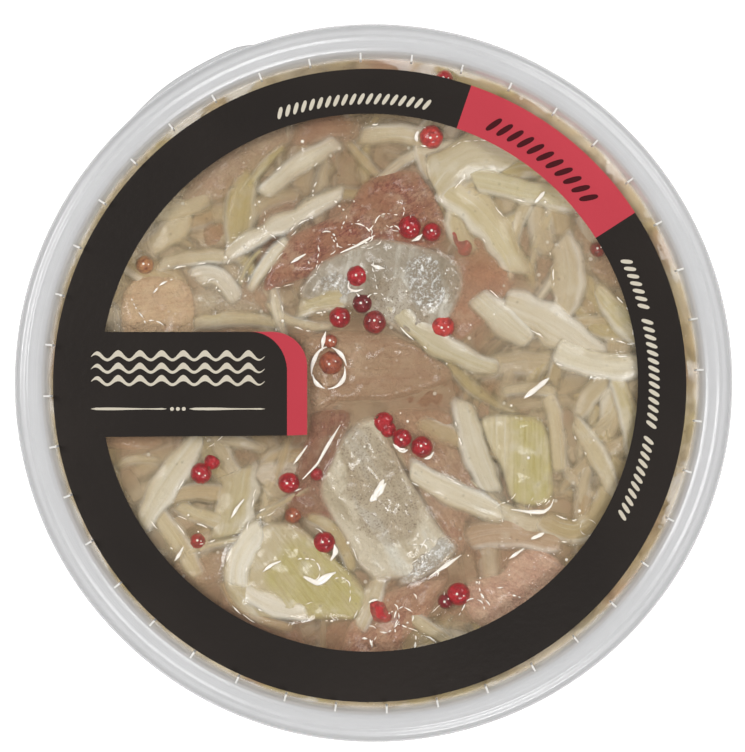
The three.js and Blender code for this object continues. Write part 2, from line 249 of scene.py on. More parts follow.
def onion_paint():
    paint = Paint("onion_paint", Roughness=0.34, Coat_Weight=0.4, Coat_Roughness=0.1, IOR=1.36)
    tint, grain, edge, green, deep = paint.food()
    side = paint.split(grain)[2]
    veins = paint.noise(grain, 1.0, 4.0, 0.6, stretch=(0.05, 1.2, 0.2))
    colour = paint.mix(veins.ramp(0.4, 0.75), tint, paint.darker(tint, (0.88, 0.84, 0.74)))
    colour = paint.mix(veins.ramp(0.44, 0.28, 0.0, 0.35), colour, tone(228, 223, 211))
    patchy = paint.noise(grain, 0.5, 4.0, stretch=(0.3, 1.0, 0.2)).ramp(0.3, 0.62, 0.45, 0.95)
    stripes = paint.noise(grain, 1.3, stretch=(0.1, 1.6, 0.2)).ramp(0.35, 0.65)
    leaf = paint.mix(stripes, tone(178, 163, 98), tone(188, 175, 116))
    colour = paint.mix(green * patchy, colour, leaf)
    # Painted shade: one side of each strip is painted darker
    colour = paint.mix(side.ramp(-0.2, -1.0, 0.0, 0.7), colour, paint.darker(colour, (0.8, 0.74, 0.6)))
    milky = paint.noise(grain, 0.2)
    colour = paint.mix(milky.ramp(0.5, 0.72, 0.0, 0.45), colour, tone(214, 204, 182))
    # Painted highlight: a paler band along a ridge on the other side
    ridge = side.ramp(0.35, 0.65) * side.ramp(1.0, 0.85)
    colour = paint.mix(ridge * 0.55, colour, tone(228, 222, 208))
    paint.wet(colour, veins + paint.noise(grain, 0.9) * 0.8, 0.0003, deep)
    paint.soften_edge(edge, deep, 0.36)
    return paint.material


def peppercorn_paint():
    paint = Paint("peppercorn_paint", Roughness=0.3, Coat_Weight=0.5, Coat_Roughness=0.05, IOR=1.36)
    tint, grain, _, _, deep = paint.food()
    mottle = paint.noise(grain, 0.9, 4.0)
    colour = paint.mix(mottle.ramp(0.4, 0.66), tint, paint.darker(tint, (0.55, 0.4, 0.45)))
    paint.wet(colour, paint.noise(grain, 1.8), 0.0004, deep, 0.35)
    return paint.material


def core_paint():
    paint = Paint("core_paint", Roughness=0.5, Coat_Weight=0.2, Coat_Roughness=0.2)
    place = paint.place()
    blotch = paint.noise(place, 110.0)
    colour = paint.mix(blotch.ramp(0.38, 0.62), tone(172, 136, 106), tone(192, 168, 132))
    paint.wire(Base_Color=colour, Normal=paint.bump(paint.noise(place, 500.0), 0.0005))
    return paint.material


def brine_paint():
    paint = Paint("brine_paint", Roughness=0.05, IOR=1.6, Coat_Weight=0.4, Coat_Roughness=0.02, Coat_IOR=1.7)
    cloudy = paint.split(paint.attribute("mask"))[0]
    place = paint.place()
    haze = paint.noise(place, 160.0, 2.0)
    broken = paint.noise(place, 1500.0, 2.0) * paint.noise(place, 90.0).ramp(0.5, 0.64, 0.0, 0.45)
    relief = paint.noise(place, 420.0, 2.0) + broken
    colour = paint.mix(haze * 0.25, paint.attribute("tint", "Color"), tone(196, 166, 130))
    bits = paint.specks(place, 900.0, 0.35, 0.07)
    colour = paint.mix(bits * 0.5, colour, tone(116, 88, 60))
    motes = paint.specks(place, 620.0, 0.3, 0.06)
    colour = paint.mix(motes * 0.7, colour, tone(236, 226, 206))
    alpha = cloudy + (bits + motes) * 0.15
    paint.wire(Base_Color=colour, Alpha=alpha, Normal=paint.bump(relief, 0.0003))
    return paint.material


def bead_paint():
    # Painted highlight: beads of brine are painted near white with a faint glow of their own, standing in for
    # the light that they catch
    paint = Paint("brine_bead_highlight_paint", Roughness=0.12, Coat_Weight=1.0, Coat_Roughness=0.05, IOR=1.4,
                  Emission_Color=(1, 0.98, 0.95), Emission_Strength=0.18)
    haze = paint.noise(paint.place(), 700.0, 2.0)
    paint.wire(Base_Color=paint.mix(haze, tone(250, 243, 232), tone(232, 222, 206)))
    return paint.material


def plastic_paint(name, clear, cloudy, from_radius, to_radius, colour, stain=None):
    """Clear plastic that turns cloudy from one radius (in metres) to the next, with painted light inside
    them: a paler colour, if given, that brightens the steep wall of the recess.
    """
    def dimmed(share):
        return tuple(part * share for part in colour)

    paint = Paint(name, Roughness=0.22, IOR=1.5, Coat_Weight=0.5, Coat_Roughness=0.08)
    place = paint.place()
    x, y, z = paint.split(place)
    radius = paint.math("SQRT", x * x + y * y)
    rings = paint.noise(paint.add("CombineXYZ", {0: radius, 1: z * 0.3}).outputs[0], 1400.0)
    mottle = paint.noise(place, 90.0, 2.0)
    alpha = radius.ramp(from_radius, to_radius, clear, cloudy) * ((rings - 0.5) * 0.3 + 1.0)
    shade = paint.mix(mottle.ramp(0.3, 0.7, 0.0, 0.3), colour, dimmed(0.9))
    shade = paint.mix(rings.ramp(0.42, 0.62, 0.0, 0.25), shade, dimmed(0.78))
    if stain:
        # Painted light: inside the outer radius the plastic takes the paler colour, to brighten the steep
        # wall of the recess
        shade = paint.mix(radius.ramp(to_radius - 0.0012, to_radius + 0.0008), stain, shade)
    # Painted shade: the outermost rim is painted darker
    rim_from, rim_to = 0.0648, 0.0662
    shade = paint.mix(radius.ramp(rim_from, rim_to), shade, dimmed(0.74))
    paint.wire(Base_Color=shade, Alpha=alpha, Normal=paint.bump(rings, 0.00012))
    return paint.material


def rib_paint():
    paint = Paint("lid_rib_paint", Roughness=0.25, IOR=1.5)
    mottle = paint.noise(paint.place(), 300.0, 2.0)
    paint.wire(Base_Color=paint.mix(mottle, tone(252, 250, 247), tone(240, 238, 234)))
    return paint.material


def ink_paint(name, colour, worn):
    paint = Paint(name, Roughness=0.3, IOR=1.36)
    place = paint.place()
    cloud = paint.noise(place, 35.0, 2.0)
    shade = paint.mix(cloud.ramp(0.3, 0.7, 0.0, 0.6), tone(*colour), tone(*worn))
    paint.wire(Base_Color=shade, Normal=paint.bump(paint.noise(place, 900.0), 0.00004))
    return paint.material


# Meshes

def make_object(name, points, faces, material, slot, nodes, attributes=None, sharp=None):
    """One piece: points in millimetres, carried by the tub, standing for the CAD nodes named."""
    mesh = bpy.data.meshes.new(name)
    mesh.from_pydata((np.asarray(points, float) * MM).tolist(), [], faces)
    mesh.validate()
    for key, (kind, values) in (attributes or {}).items():
        layer = mesh.attributes.new(key, kind, "POINT")
        field = "color" if kind == "FLOAT_COLOR" else "vector"
        layer.data.foreach_set(field, np.asarray(values, np.float32).ravel())
    mesh.materials.append(material)
    mesh.shade_smooth()
    if sharp:
        mesh.set_sharp_from_angle(angle=math.radians(sharp))
    piece = bpy.data.objects.new(name, mesh)
    bpy.context.scene.collection.objects.link(piece)
    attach(piece, "root")
    if nodes:
        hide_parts(*nodes)
    return piece


def gathered(parts):
    """The points and faces of several meshes as one."""
    points, faces = [], []
    for more, more_faces in parts:
        faces += [tuple(index + len(points) for index in face) for face in more_faces]
        points += list(more)
    return points, faces


def band(low, high, sides):
    """Faces between two rings of points, given by the numbers of their first points."""
    return [(low + k, high + k, high + (k + 1) % sides, low + (k + 1) % sides) for k in range(sides)]


def tube(steps, sides, inside_out=False):
    """Faces of a tube through rings of points that follow each other, with both its ends closed."""
    faces = [face for i in range(steps) for face in band(i * sides, (i + 1) * sides, sides)]
    ends = [tuple(range(sides)), tuple(reversed(range(steps * sides, (steps + 1) * sides)))]
    if inside_out:
        faces = [(a, d, c, b) for a, b, c, d in faces]
        ends = [end[::-1] for end in ends]
    return faces + ends


def soften(profile, reach=0.3, steps=3):
    """Round the corners of a profile, except where it meets the axis."""
    points = [np.array(p, float) for p in profile]
    result = []
    for i, point in enumerate(points):
        if point[0] < 0.01:
            result.append(point)
            continue
        to_before, to_after = points[i - 1] - point, points[(i + 1) % len(points)] - point
        a = point + to_before * min(reach / np.linalg.norm(to_before), 0.45)
        b = point + to_after * min(reach / np.linalg.norm(to_after), 0.45)
        for k in range(steps + 1):
            t = k / steps
            result.append((1 - t) ** 2 * a + 2 * t * (1 - t) * point + t ** 2 * b)
    return result


def turned(profile, sides=ROUND):
    """Points and faces of a closed profile of (radius, height) turned round the axis."""
    points, faces, rings = [], [], []
    for radius, height in profile:
        if radius < 0.01:
            rings.append([len(points)] * sides)
            points.append((0, 0, height))
        else:
            rings.append(range(len(points), len(points) + sides))
            points += [(*polar(radius, 2 * math.pi * k / sides), height) for k in range(sides)]
    for low, high in zip(rings, rings[1:] + rings[:1]):
        for k in range(sides):
            j = (k + 1) % sides
            face = tuple(dict.fromkeys((low[k], low[j], high[j], high[k])))
            if len(face) > 2:
                faces.append(face)
    return points, faces


def smooth_loop(points, step):
    """A closed curve through the points, in even steps."""
    points = np.array(points, float)
    count = len(points)
    dense = []
    for i in range(count):
        p0, p1, p2, p3 = (points[(i + k - 1) % count] for k in range(4))
        for t in np.linspace(0, 1, 12, endpoint=False):
            dense.append(0.5 * (2 * p1 + (p2 - p0) * t + (2 * p0 - 5 * p1 + 4 * p2 - p3) * t ** 2
                                + (3 * p1 - p0 - 3 * p2 + p3) * t ** 3))
    dense = np.array(dense)
    gaps = np.linalg.norm(np.roll(dense, -1, axis=0) - dense, axis=1)
    along = np.concatenate([[0], np.cumsum(gaps)])
    closed = np.vstack([dense, dense[:1]])
    places = np.linspace(0, along[-1], max(12, int(along[-1] / step)), endpoint=False)
    return np.stack([np.interp(places, along, closed[:, k]) for k in (0, 1)], axis=1)


def curve(line, t):
    """Where a curve through three places is at shares t of its way, and its direction there."""
    a, b, c = (np.array(p, float) for p in line)
    through = 2 * b - (a + c) / 2
    place = (1 - t) ** 2 * a + 2 * t * (1 - t) * through + t ** 2 * c
    tangent = 2 * (1 - t) * (through - a) + 2 * t * (c - through)
    return place, tangent / np.linalg.norm(tangent, axis=-1, keepdims=True)


def distance_to_loop(points, loop):
    """Distance of each point to a closed outline, negative outside it."""
    a, b = loop, np.roll(loop, -1, axis=0)
    along = b - a
    to_point = points[:, None, :] - a[None]
    share = np.clip((to_point * along).sum(2) / (along ** 2).sum(1), 0, 1)
    gap = np.linalg.norm(to_point - share[..., None] * along, axis=2).min(1)
    x, y = points[:, 0:1], points[:, 1:2]
    crosses = (a[:, 1] > y) != (b[:, 1] > y)
    rise = np.where(b[:, 1] == a[:, 1], 1e-9, b[:, 1] - a[:, 1])
    left = x < (b[:, 0] - a[:, 0]) * (y - a[:, 1]) / rise + a[:, 0]
    inside = (crosses & left).sum(1) % 2 == 1
    return np.where(inside, gap, -gap)


def waves(rng, wavelength, amplitude):
    """A smooth uneven field over the plane, the same each run."""
    terms = []
    count = 7
    for _ in range(count):
        turn, phase = rng.uniform(0, 2 * math.pi), rng.uniform(0, 2 * math.pi)
        number = 2 * math.pi / (wavelength * rng.uniform(0.7, 1.5))
        terms.append((*polar(number, turn), phase))
    scale = amplitude / math.sqrt(count)
    return lambda x, y: sum(scale * np.sin(kx * x + ky * y + phase) for kx, ky, phase in terms)


def triangulated(loop, step, rng):
    """Points and triangles that fill a closed outline about evenly."""
    low, high = loop.min(0), loop.max(0)
    row_step, shake, margin = step * 0.87, 0.1, step * 0.45
    xs = np.arange(low[0], high[0], step)
    ys = np.arange(low[1], high[1], row_step)
    grid = np.array([(x + (j % 2) * step / 2, y) for j, y in enumerate(ys) for x in xs])
    grid = grid + np.array([[rng.uniform(-shake, shake), rng.uniform(-shake, shake)] for _ in grid]) * step
    grid = grid[distance_to_loop(grid, loop) > margin]
    ring = [(i, (i + 1) % len(loop)) for i in range(len(loop))]
    only_inside = 1
    points = [Vector(p) for p in np.vstack([loop, grid])]
    flat, _, triangles, _, _, _ = delaunay_2d_cdt(points, ring, [], only_inside, 1e-6)
    return np.array([tuple(p) for p in flat]), triangles


def two_sided(flat, triangles):
    """Faces of a slab: the triangles as its top, their copies as its bottom, and the rim between them."""
    count = len(flat)
    faces = []
    rim = {}
    for a, b, c in triangles:
        to_b, to_c = flat[b] - flat[a], flat[c] - flat[a]
        if to_b[0] * to_c[1] - to_b[1] * to_c[0] < 0:
            b, c = c, b
        faces += [(a, b, c), (a + count, c + count, b + count)]
        for p, q in ((a, b), (b, c), (c, a)):
            if rim.pop((q, p), None) is None:
                rim[(p, q)] = True
    return faces + [(q, p, p + count, q + count) for p, q in rim]


def slab(outline, rng, thick=4.0, edge=2.4, drop=1.4, step=0.8, rough=0.35, tilt=(0.0, 0.0), dish=0.0,
         grooves=0.0, turn=0.0):
    """A soft closed slab with its top at height 0: points, faces, its inner share and its grain."""
    loop = smooth_loop(outline, step)
    flat, triangles = triangulated(loop, step, rng)
    inner = np.maximum(distance_to_loop(flat, loop), 0)
    inner[inner < 1e-4] = 0
    inward, near = np.clip(inner / edge, 0, 1), np.clip(1 - inner / edge, 0, 1)
    fall = drop * (1 - np.sqrt(1 - near ** 2))
    x, y = (flat - flat.mean(0)).T
    along, across = rotated(x, y, -math.radians(turn))
    uneven = sum(waves(rng, length, height)(*flat.T) for length, height in ((9.0, rough), (3.5, rough * 0.3)))
    top = -fall + uneven * inward + tilt[0] * x + tilt[1] * y
    top -= dish * np.clip(inner / max(inner.max(), 0.1), 0, 1)
    if grooves:
        spacing = 3.2  # of the layers of muscle, which meet at an angle
        chevron = np.sin((along + 0.5 * np.abs(across)) * 2 * math.pi / spacing)
        top -= grooves * np.clip(chevron - 0.55, 0, 1) * inward
    bottom = np.minimum(-thick + fall * 0.6 + tilt[0] * x + tilt[1] * y, top - 0.6)
    points = np.vstack([np.column_stack([flat, top]), np.column_stack([flat, bottom])])
    share = np.tile(np.clip(inner / EDGE_SPAN, 0, 1), 2)
    seed = rng.uniform(0, SEEDS)
    grain = np.column_stack([np.tile(along, 2) + seed, np.tile(across, 2) + seed, points[:, 2] * 0.04])
    return points, two_sided(flat, triangles), share, grain


def strip(line, width, rng, tilt=0.0, fine=True):
    """A cut strip of onion with its top near height 0, along a line through three places."""
    thick, bow, sag = 1.1, 0.16, 0.4
    length = math.dist(line[0], line[1]) + math.dist(line[1], line[2])
    steps = max(14, int(length / 0.7)) if fine else max(8, int(length / 1.6))
    t = 0.5 - 0.5 * np.cos(np.linspace(0, math.pi, steps + 1))
    t = np.clip(t, 0.0004, 0.9996)
    centre, tangent = curve(line, t[:, None])
    normal = np.column_stack([-tangent[:, 1], tangent[:, 0]])
    to_end = np.abs(2 * t - 1)
    blunt = np.sqrt(1 - to_end ** 20)
    narrow = rng.uniform(0.15, 0.6)
    start, end = rng.uniform(0.3, 1), rng.uniform(0.3, 1)
    shape = np.where(t < 0.5, start, end) * to_end ** 1.6
    half = width / 2 * (1 - narrow * shape) * blunt
    slant = rng.uniform(-0.9, 0.9) * to_end ** 4
    along = np.concatenate([[0], np.cumsum(np.linalg.norm(np.diff(centre, axis=0), axis=1))])
    across = np.array([-1, -0.93, -0.78, -0.4, 0, 0.4, 0.78, 0.93, 1] if fine else [-1, -0.8, 0, 0.8, 1])
    ripple = waves(rng, 8.0, 0.22)
    swell = waves(rng, 5.0, 0.12)
    flip = rng.choice((-1, 1))
    seed = rng.uniform(0, SEEDS)
    points, share, grain = [], [], []
    for i in range(steps + 1):
        reach_out = half[i] * (1 + swell(centre[i][0] + across, centre[i][1] - across))
        spot = centre[i] + (normal[i] + tangent[i] * slant[i]) * (across * reach_out)[:, None]
        top = tilt * across * half[i] - bow * half[i] * across ** 2 - sag * to_end[i] ** 2 + ripple(*spot.T)
        body = thick * (0.3 + 0.7 * (1 - across ** 2)) * min(1, (2 * half[i] / width) ** 0.5)
        to_edge = np.minimum(half[i] * (1 - np.abs(across)), min(along[i], along[-1] - along[i]))
        # The grain's third number is the side across the strip, flipped at random: onion_paint paints shade
        # on one side and a highlight along the other
        lay = np.column_stack([np.full(len(across), along[i]) + seed, across * half[i] + seed, across * flip])
        points += [np.column_stack([spot, top]), np.column_stack([spot, top - body])[::-1]]
        share += [to_edge, to_edge[::-1]]
        grain += [lay, lay[::-1]]
    share = np.clip(np.concatenate(share) / EDGE_SPAN, 0, 1)
    return np.vstack(points), tube(steps, 2 * len(across)), share, np.vstack(grain)


def ball(radius, rng, rings=14, sides=22):
    """A slightly wrinkled round berry with a dimple at one pole."""
    points = [(0, 0, 0.9)]
    for i in range(1, rings):
        lean = math.pi * i / rings
        dimple = 1 - 0.1 * math.exp(-(lean / 0.35) ** 2)
        for k in range(sides):
            x, y = polar(math.sin(lean), 2 * math.pi * k / sides)
            points.append((x * dimple, y * dimple, math.cos(lean) * dimple))
    points.append((0, 0, -1))
    points = np.array(points)
    bumps = waves(rng, 0.9, 0.03)
    points *= (1 + bumps(points[:, 0] + points[:, 2], points[:, 1] - points[:, 2]))[:, None]
    last = len(points) - 1
    low = last - sides
    faces = [(0, 1 + k, 1 + (k + 1) % sides) for k in range(sides)]
    for i in range(rings - 2):
        faces += band(1 + i * sides, 1 + (i + 1) * sides, sides)
    faces += [(low + (k + 1) % sides, low + k, last) for k in range(sides)]
    return points * radius, faces


class Pile:
    """Closed meshes of one kind, gathered into one piece."""

    def __init__(self):
        self.points, self.faces, self.tints, self.grains, self.masks = [], [], [], [], []
        self.count = 0

    def add(self, points, faces, share, grain, tint, second=0.0):
        points = np.array(points)
        count = len(points)
        soft = 0.6  # below the limit, heights are squeezed over this much
        high = points[:, 2] > PIECE_LIMIT - soft
        over = points[high, 2] - (PIECE_LIMIT - soft)
        points[high, 2] = PIECE_LIMIT - soft + soft * np.tanh(over / soft)
        self.faces += [tuple(index + self.count for index in face) for face in faces]
        self.count += count
        self.points.append(points)
        self.tints.append(np.tile((*tint, 1.0), (count, 1)))
        self.grains.append(grain)
        self.masks.append(np.column_stack([share, np.broadcast_to(second, count), deepness(points)]))

    def all_points(self):
        return np.vstack(self.points)

    def make(self, name, material, slot):
        attributes = {
            "tint": ("FLOAT_COLOR", np.vstack(self.tints)),
            "grain": ("FLOAT_VECTOR", np.vstack(self.grains)),
            "mask": ("FLOAT_VECTOR", np.vstack(self.masks)),
        }
        make_object(name, self.all_points(), self.faces, material, slot, ["herring_heap"], attributes)


def deepness(points):
    """How far food lies behind the nearest clear surface: 0 near it, 1 from about 5 mm in."""
    x, y, height = points.T
    surface, start, span = 49.4, 0.9, 4.2
    gap = np.minimum.reduce([surface - height, wall_radius(height) - np.hypot(x, y), height - FLOOR])
    return np.clip((gap - start) / span, 0, 1)


def spots(points, centres):
    """1 inside the round zones (x, y, radius), fading over their outer third."""
    value = np.zeros(len(points))
    for x, y, radius in centres:
        away = np.hypot(points[:, 0] - x, points[:, 1] - y) / radius
        value = np.maximum(value, np.clip((1 - away) / 0.35, 0, 1))
    return value


# What lies in the tub. Outlines, lines and zones (x, y, radius) are as seen from above, and a top is the
# height of a piece's top

# Bites of flesh: top, tone, share of red, turn of the grain, outline
FLESH = [
    (48.3, (168, 120, 96), 0.75, 35,
     [(-21, 17), (-16.5, 27), (-6, 32.5), (-2, 38), (5, 40.3), (10, 38.5), (14, 26.5), (0, 22), (-12.5, 19)]),
    (47.4, (184, 134, 106), 0.25, -50,
     [(14, 24.5), (19, 28), (23.5, 28), (27.5, 21), (24.5, 13.5), (19.5, 9), (15, 6.5), (10.5, 9), (13, 16)]),
    (48.5, (176, 148, 122), 0.1, 0,
     [(-13.5, 8.3), (-6, 10.2), (4, 9.2), (12.5, 4.6), (15, 2), (13.5, -0.5), (4, -3.5), (-6, -4),
      (-11.5, -5.8), (-13, 0.5)]),
    (48.4, (212, 187, 156), 0.1, 10,
     [(-47, 17), (-41.5, 20.5), (-34, 18.5), (-33, 10), (-36, 6), (-46, 6)]),
    (47.4, (184, 162, 140), 0.2, 40,
     [(-36, 36), (-28, 45), (-19, 49.5), (-13.5, 47), (-18, 41), (-23, 36.5), (-28, 33.5), (-35, 32.5)]),
    (46.4, (184, 138, 112), 0.3, 5,
     [(-17.5, 47), (-8, 52), (-3, 51.5), (-3.5, 45.5), (-8, 44.8), (-14, 43)]),
    (47.7, (186, 152, 126), 0.35, -60,
     [(2, -5), (14, -4.5), (16.5, -10.5), (19.5, -18), (24.5, -21.8), (23, -24.5), (18, -25.5), (17.5, -31),
      (15, -32.5), (11, -26), (4.5, -14)]),
    (48.1, (150, 106, 84), 0.6, 80,
     [(-11.5, -5), (-4, -5), (-5, -11), (-8, -18), (-6, -26), (-13.5, -25.5), (-17, -22.5), (-15.5, -17.5),
      (-13.5, -11)]),
    (48.3, (214, 182, 158), 0.25, -30,
     [(18, -36.5), (23.5, -35), (25.5, -32), (30, -30.2), (35, -32.7), (40, -38), (31, -47.5), (20, -46),
      (16, -40)]),
    (48.1, (190, 152, 128), 0.5, 40,
     [(-5, -44.5), (-1, -42), (3, -38), (14, -35.8), (12.5, -40), (10.5, -44), (6.5, -48), (4, -52.5),
      (-6, -52)]),
    (46.8, (186, 134, 110), 0.4, -20,
     [(-28, -37.5), (-23.5, -39.5), (-19, -42.8), (-13.5, -45.5), (-11.5, -51.5), (-21, -50), (-29, -44)]),
    (46.8, (200, 162, 132), 0.2, 0,
     [(-52, -8), (-40, -9), (-38.5, -12), (-45, -13.5), (-52, -12)]),
    (46.4, (188, 158, 128), 0.2, 60,
     [(35.5, 29), (41, 32), (44.5, 26), (41, 22), (37, 24)]),
    (46.9, (182, 152, 122), 0.3, 0,
     [(-38, -33), (-33, -30.5), (-25.5, -31), (-24.5, -34.5), (-31, -39), (-38, -38)]),
    (46.6, (182, 150, 124), 0.3, 15,
     [(-44, -7), (-40, 5), (-30, 7), (-16, 4), (-15, -4), (-30, -8)]),
]

# Pieces with silver skin: top, tone, turn of the grain, zones that glitter with painted highlights, zones
# that are dull, outline
SKIN = [
    (49.1, (176, 167, 152), 78,
     [(9, 20.5, 4), (10.2, 17, 3.8), (-7, 18, 3.2)], [(3.5, 15, 6), (14.5, 18.5, 4.5), (9, 11, 4)],
     [(-14, 15.7), (-11.5, 21.5), (-6, 24.8), (0.5, 27.2), (8.5, 26), (15, 23.5), (17, 18), (12.5, 9),
      (7, 8), (1.5, 11), (-5.5, 14)]),
    (49.3, (212, 203, 182), -60, [], [(0, -18, 7), (3, -24, 7.5), (-2, -12.5, 5.5)],
     [(-5.5, -9), (0.3, -6), (4, -12.5), (12.3, -26), (15.5, -30.5), (14.5, -33), (10.5, -35.8), (2, -37),
      (-1.5, -36), (-5.5, -29.5), (-10.3, -20.3), (-8, -14)]),
    (47.7, (186, 172, 146), -5, [], [(-25, 13, 6)],
     [(-33, 18), (-22, 15.5), (-22, 12.5), (-32, 9.5), (-34, 13)]),
    (49.4, (204, 196, 182), 45,
     [(6.5, -35.3, 3), (9, -33.4, 3.5), (11.2, -32, 3.5), (13.5, -30.3, 3.2)], [],
     [(4, -37.5), (7.5, -32.5), (12.3, -28.2), (15.8, -30.5), (13, -34.5), (7.5, -37.5)]),
]

# Tones of onion, from the palest to the greenest; SHADE is onion painted darker, as in shade
PALE, CREAM, TAN = (214, 206, 189), (199, 187, 159), (184, 167, 132)
SHADE, GREEN = (170, 147, 112), (184, 170, 120)

# Strips of onion: three places on the middle line, width, top, tone, share of green
ONION = [
    ((-21, 34.8), (-13.6, 40.8), (-6, 45), 4.6, 48.6, PALE, 0),
    ((-28, 23.6), (-18, 29.2), (-5.3, 35.6), 4.4, 49.4, PALE, 0),
    ((-23.2, 16.8), (-20, 22.3), (-15.8, 27), 3.4, 49.1, PALE, 0),
    ((-40.4, 21.8), (-32, 23.6), (-23.7, 23.1), 4, 48.3, CREAM, 0),
    ((-42, 25), (-37.2, 29.2), (-35, 34), 6, 48.1, CREAM, 0),
    ((-34, 19.4), (-29.3, 19.9), (-25.2, 15), 5, 48.8, PALE, 0),
    ((-34, 10.7), (-26.5, 12), (-17, 11), 4, 48.2, CREAM, 0.4),
    ((-14.5, 13.5), (-9.5, 14.8), (-4, 15.7), 4.6, 48.9, CREAM, 0.2),
    ((-3, 45.8), (4.9, 46.4), (12.5, 44.9), 4.8, 48.5, CREAM, 0),
    ((11, 36), (17.8, 42.1), (27, 41), 9, 49, (204, 194, 170), 0),
    ((18, 37.8), (27.1, 36), (38, 33.6), 5.6, 48.8, (208, 200, 174), 0.25),
    ((13, 36.6), (21.2, 30.2), (27, 20), 7.6, 48.6, (203, 192, 164), 0.12),
    ((34.8, 27.5), (36.3, 19), (34.6, 11.6), 7.8, 48.3, CREAM, 0),
    ((19, 16.6), (24.3, 11.6), (29.5, 7.6), 6.4, 48.7, PALE, 0),
    ((24, 15.2), (33.5, 10.7), (42.5, 3.6), 8, 48.8, PALE, 0.05),
    ((33.5, 6.4), (41.8, 3.3), (51, 3.3), 5.8, 49.4, (226, 220, 204), 0),
    ((44.6, 2), (47.7, -6.8), (48.3, -15), 5, 48.9, CREAM, 0.5),
    ((41, 18), (46.5, 11.6), (50.4, 7), 5.6, 48.8, CREAM, 0.6),
    ((37, -6.6), (41.5, -13.3), (45.4, -22), 4.8, 48.6, CREAM, 0.1),
    ((32.4, -1.6), (34.1, -8.7), (34.6, -17), 4.2, 48.2, CREAM, 0.1),
    ((16.7, -2.8), (18.2, -10.5), (22.2, -20.6), 5.8, 49, PALE, 0),
    ((-28.2, -36.6), (-23.4, -42.5), (-14.6, -45.6), 3, 48.6, SHADE, 0),
    ((1.6, -35.2), (-0.3, -40), (-2.8, -46), 4.6, 48.6, CREAM, 0),
    ((6, -43), (10.8, -46), (16, -49.5), 3.8, 48.5, CREAM, 0),
    ((-31.8, -9.4), (-38, -17.9), (-43.2, -27), 6.4, 49, PALE, 0),
    ((-24.4, -15.4), (-25.6, -22.5), (-27.2, -29), 8.4, 48.7, (194, 182, 150), 0.3),
    ((-41, -23.4), (-36.1, -29.9), (-32.6, -36.4), 5, 48.3, CREAM, 0.05),
    ((17, -29.6), (25.2, -28.1), (35.4, -30.2), 6.6, 48.2, (190, 165, 138), 0),
    ((31, -25), (39.1, -27.2), (44.2, -19), 5.8, 48.4, TAN, 0.2),
    ((6.4, -15.6), (14.5, -20.3), (24.2, -24.4), 5.4, 49.3, PALE, 0),
    ((-25.6, 32.9), (-20.6, 40.3), (-16.3, 44), 2.4, 48, GREEN, 0.5),
    ((-5.3, 45.4), (-1.6, 41.2), (1.2, 38.4), 3, 48, TAN, 0),
    ((-25, 18.1), (-23.2, 22.3), (-20.6, 24.9), 1.6, 48.8, CREAM, 0.5),
    ((-49, 15.3), (-48.8, 12), (-48.3, 8.9), 4, 47.8, PALE, 0),
    ((-18.7, 18.1), (-18, 13.5), (-16.3, 7.9), 3, 48.6, PALE, 0),
    ((-20, 15.3), (-14.5, 11.3), (-7.1, 10.7), 2.6, 48.7, CREAM, 0.1),
    ((-4.3, 48.9), (1.2, 49.9), (6.7, 48.9), 3, 47, TAN, 0),
    ((1.2, 42.7), (8.6, 42.1), (14.1, 43.4), 3, 47.4, SHADE, 0),
    ((12.3, 35.6), (15.1, 31), (19.7, 27.3), 4, 47.6, TAN, 0),
    ((28.9, 23.6), (29.4, 20), (29.8, 17.2), 3, 47.6, TAN, 0.2),
    ((36.3, -2.8), (42.8, -3.1), (47, -10.5), 2.8, 47.6, TAN, 0.1),
    ((2.6, 16.6), (10.4, 8.4), (23.5, 2.4), 5.4, 49.3, (200, 191, 168), 0),
    ((23.4, -1.7), (29.8, -0.9), (34.4, -2.2), 3.5, 48.2, CREAM, 0.1),
    ((-12.7, -24.9), (-7.1, -28.1), (-4, -35.5), 4, 48.4, TAN, 0.2),
    ((-32, -10.2), (-25.6, -10.9), (-20, -12.7), 3.2, 48.1, CREAM, 0),
    ((-15.4, -8.7), (-16.9, -14.2), (-18.7, -18.8), 2.6, 47.8, TAN, 0),
    ((-37.2, -22.5), (-31.1, -25.3), (-22.8, -27.2), 4, 48.3, CREAM, 0),
    ((-47.7, -16.1), (-45, -14.2), (-39.4, -14.6), 2.6, 48, CREAM, 0.2),
    ((-34.8, -31.8), (-29.3, -29.9), (-21.9, -28.6), 2, 48.4, CREAM, 0.1),
    ((-22.8, -25.7), (-17.3, -22.5), (-11.7, -19.4), 2, 48.3, CREAM, 0),
    ((-20.5, -26.6), (-25, -32.5), (-25.4, -38), 5.4, 49.9, (226, 221, 210), 0),
    ((-24.6, -37.5), (-19.8, -41), (-12, -43), 4.4, 49.7, (222, 216, 204), 0),
]

# Broad layers of onion: top, tone, how far the middle is sunk, turn of the grain, zones of green, outline
LAYERS = [
    (49.4, (192, 180, 152), 0.7, -52, [(-7, -39, 9), (-12, -35.5, 8), (-16, -36.5, 5)],
     [(-28.5, -35.5), (-25.4, -29.5), (-19, -25.6), (-13.5, -26.5), (-8, -31.5), (-1.5, -38), (-3, -44),
      (-8, -44.3), (-14, -44.4), (-24.5, -43)]),
    (49.2, (206, 196, 166), 0.3, 90, [(30.6, -8, 6), (30.6, -14, 6), (30.6, -19.5, 6)],
     [(19.7, -6.5), (28.9, -5.7), (32.2, -7.8), (33.5, -14.2), (33.2, -22.2), (26.1, -22.5), (23.4, -16.1)]),
]

